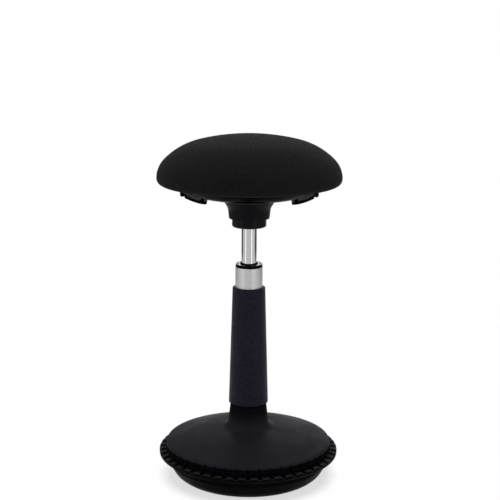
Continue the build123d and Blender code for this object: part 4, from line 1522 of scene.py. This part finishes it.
@dataclass
class Studio:
    """White floor and backdrop, soft lamps and the camera at the photograph's place."""

    eye: Place = (0.0016, -2.24865, 0.89824)
    pitch_down: float = 11.78
    roll: float = 0.3
    focal_pixels: float = 1260.6
    frame_pixels: int = 500
    sensor: float = 36.0
    floor_size: float = 12.0
    floor_colour: Colour = (0.93, 0.93, 0.93)
    shadow_near: float = 0.36
    shadow_far: float = 0.015
    near_zone: Range = (0.145, 0.172)
    far_zone: Range = (0.4, 1.3)
    fill_light: float = 0.45
    lamps: tuple[Lamp, ...] = (
        Lamp("overhead", (0.0, 0.35, 2.3), (0.0, 0.0, 0.3), (1.6, 1.2), 12.0),
        Lamp("left_strip", (-0.867, -0.677, 0.70), (0.0, 0.0, 0.70), (0.13, 1.3), 1.3),
        Lamp("left_panel", (-1.20, -0.02, 0.70), (0.0, 0.0, 0.70), (0.25, 1.3), 2.6,
             mirrored=False),
        Lamp("right_strip", (0.707, -0.843, 0.70), (0.0, 0.0, 0.70), (0.13, 1.3), 1.3),
        Lamp("right_panel", (1.079, -0.526, 0.70), (0.0, 0.0, 0.70), (0.42, 1.3), 1.9,
             mirrored=False),
        Lamp("back_rim", (0.3, 2.2, 1.7), (0.0, 0.0, 0.35), (1.8, 0.7), 5.0),
    )
    cards: tuple[Card, ...] = (Card("left_card", -133.0), Card("right_card", 121.0))

    @staticmethod
    def white_for_view(graph: Graph) -> Socket:
        """Adds the mask of the rays that see the white background.

        Args:
            graph: Graph of the world or the floor.

        Returns:
            The mask: 1 for camera, glossy and transmission rays.
        """
        path = graph.add("ShaderNodeLightPath").outputs
        seen = graph.math("MAXIMUM", path["Is Camera Ray"], path["Is Glossy Ray"])
        return graph.math("MAXIMUM", seen, path["Is Transmission Ray"])

    def build_world(self) -> None:
        """Sets the world: even fill light, and white where the view meets it."""
        world = bpy.data.worlds.new("studio")
        world.use_nodes = True
        world.node_tree.nodes.clear()
        bpy.context.scene.world = world
        graph = Graph(world.node_tree)
        light, white = (graph.add("ShaderNodeBackground", {"Color": WHITE, "Strength": strength})
                        for strength in (self.fill_light, 1.0))
        shares = {0: self.white_for_view(graph), 1: light.outputs[0], 2: white.outputs[0]}
        mix = graph.add("ShaderNodeMixShader", shares)
        graph.add("ShaderNodeOutputWorld", {0: mix.outputs[0]})

    def build_floor(self) -> None:
        """Makes the pale floor, which keeps the shadow."""
        half = self.floor_size / 2
        corners = [(-half, -half, 0), (half, -half, 0), (half, half, 0), (-half, half, 0)]
        mesh = bpy.data.meshes.new("floor")
        mesh.from_pydata(corners, [], [(0, 1, 2, 3)])
        floor = new_piece("floor", mesh)
        material = bpy.data.materials.new("floor_white")
        material.use_nodes = True
        material.node_tree.nodes.clear()
        graph = Graph(material.node_tree)
        far = graph.length(graph.add("ShaderNodeTexCoord").outputs["Object"])
        close = graph.ramp(far, *self.near_zone, 1.0 - self.shadow_near, 1.0 - self.shadow_far)
        wide = graph.ramp(far, *self.far_zone, 0.0, self.shadow_far)
        fade = graph.math("ADD", close, wide, clamp=True)
        matt = graph.add("ShaderNodeBsdfDiffuse", {"Color": rgba(self.floor_colour)})
        white = graph.add("ShaderNodeEmission", {"Color": WHITE, "Strength": 1.0})
        share = graph.math("MULTIPLY", self.white_for_view(graph), fade)
        mix = graph.add("ShaderNodeMixShader", {0: share, 1: matt.outputs[0], 2: white.outputs[0]})
        graph.add("ShaderNodeOutputMaterial", {0: mix.outputs[0]})
        mesh.materials.append(material)

    def build_camera(self) -> None:
        """Makes the camera."""
        data = bpy.data.cameras.new("camera")
        data.sensor_fit = "HORIZONTAL"
        data.sensor_width = self.sensor
        data.lens = self.focal_pixels * self.sensor / self.frame_pixels
        camera = bpy.data.objects.new("camera", data)
        bpy.context.scene.collection.objects.link(camera)
        tilt = Matrix.Rotation(math.radians(90.0 - self.pitch_down), 4, "X")
        lean = Matrix.Rotation(math.radians(self.roll), 4, "Z")
        camera.matrix_world = Matrix.Translation(Vector(self.eye)) @ tilt @ lean
        bpy.context.scene.camera = camera

    def build(self) -> None:
        """Makes the world, the floor, the lamps, the cards and the camera."""
        self.build_world()
        self.build_floor()
        for item in (*self.lamps, *self.cards):
            item.build()
        self.build_camera()
        bpy.context.scene.view_settings.view_transform = "Standard"


def main() -> None:
    """Builds every sub-assembly in order and reports its pieces."""
    logging.basicConfig(level=logging.INFO, format="%(name)s: %(message)s")
    for assembly in (WeightedBase(), GasColumn(), SeatUnderside(), ReleaseLinkage(), Upholstery()):
        assembly.build()
    Studio().build()


if __name__ == "__main__":
    main()
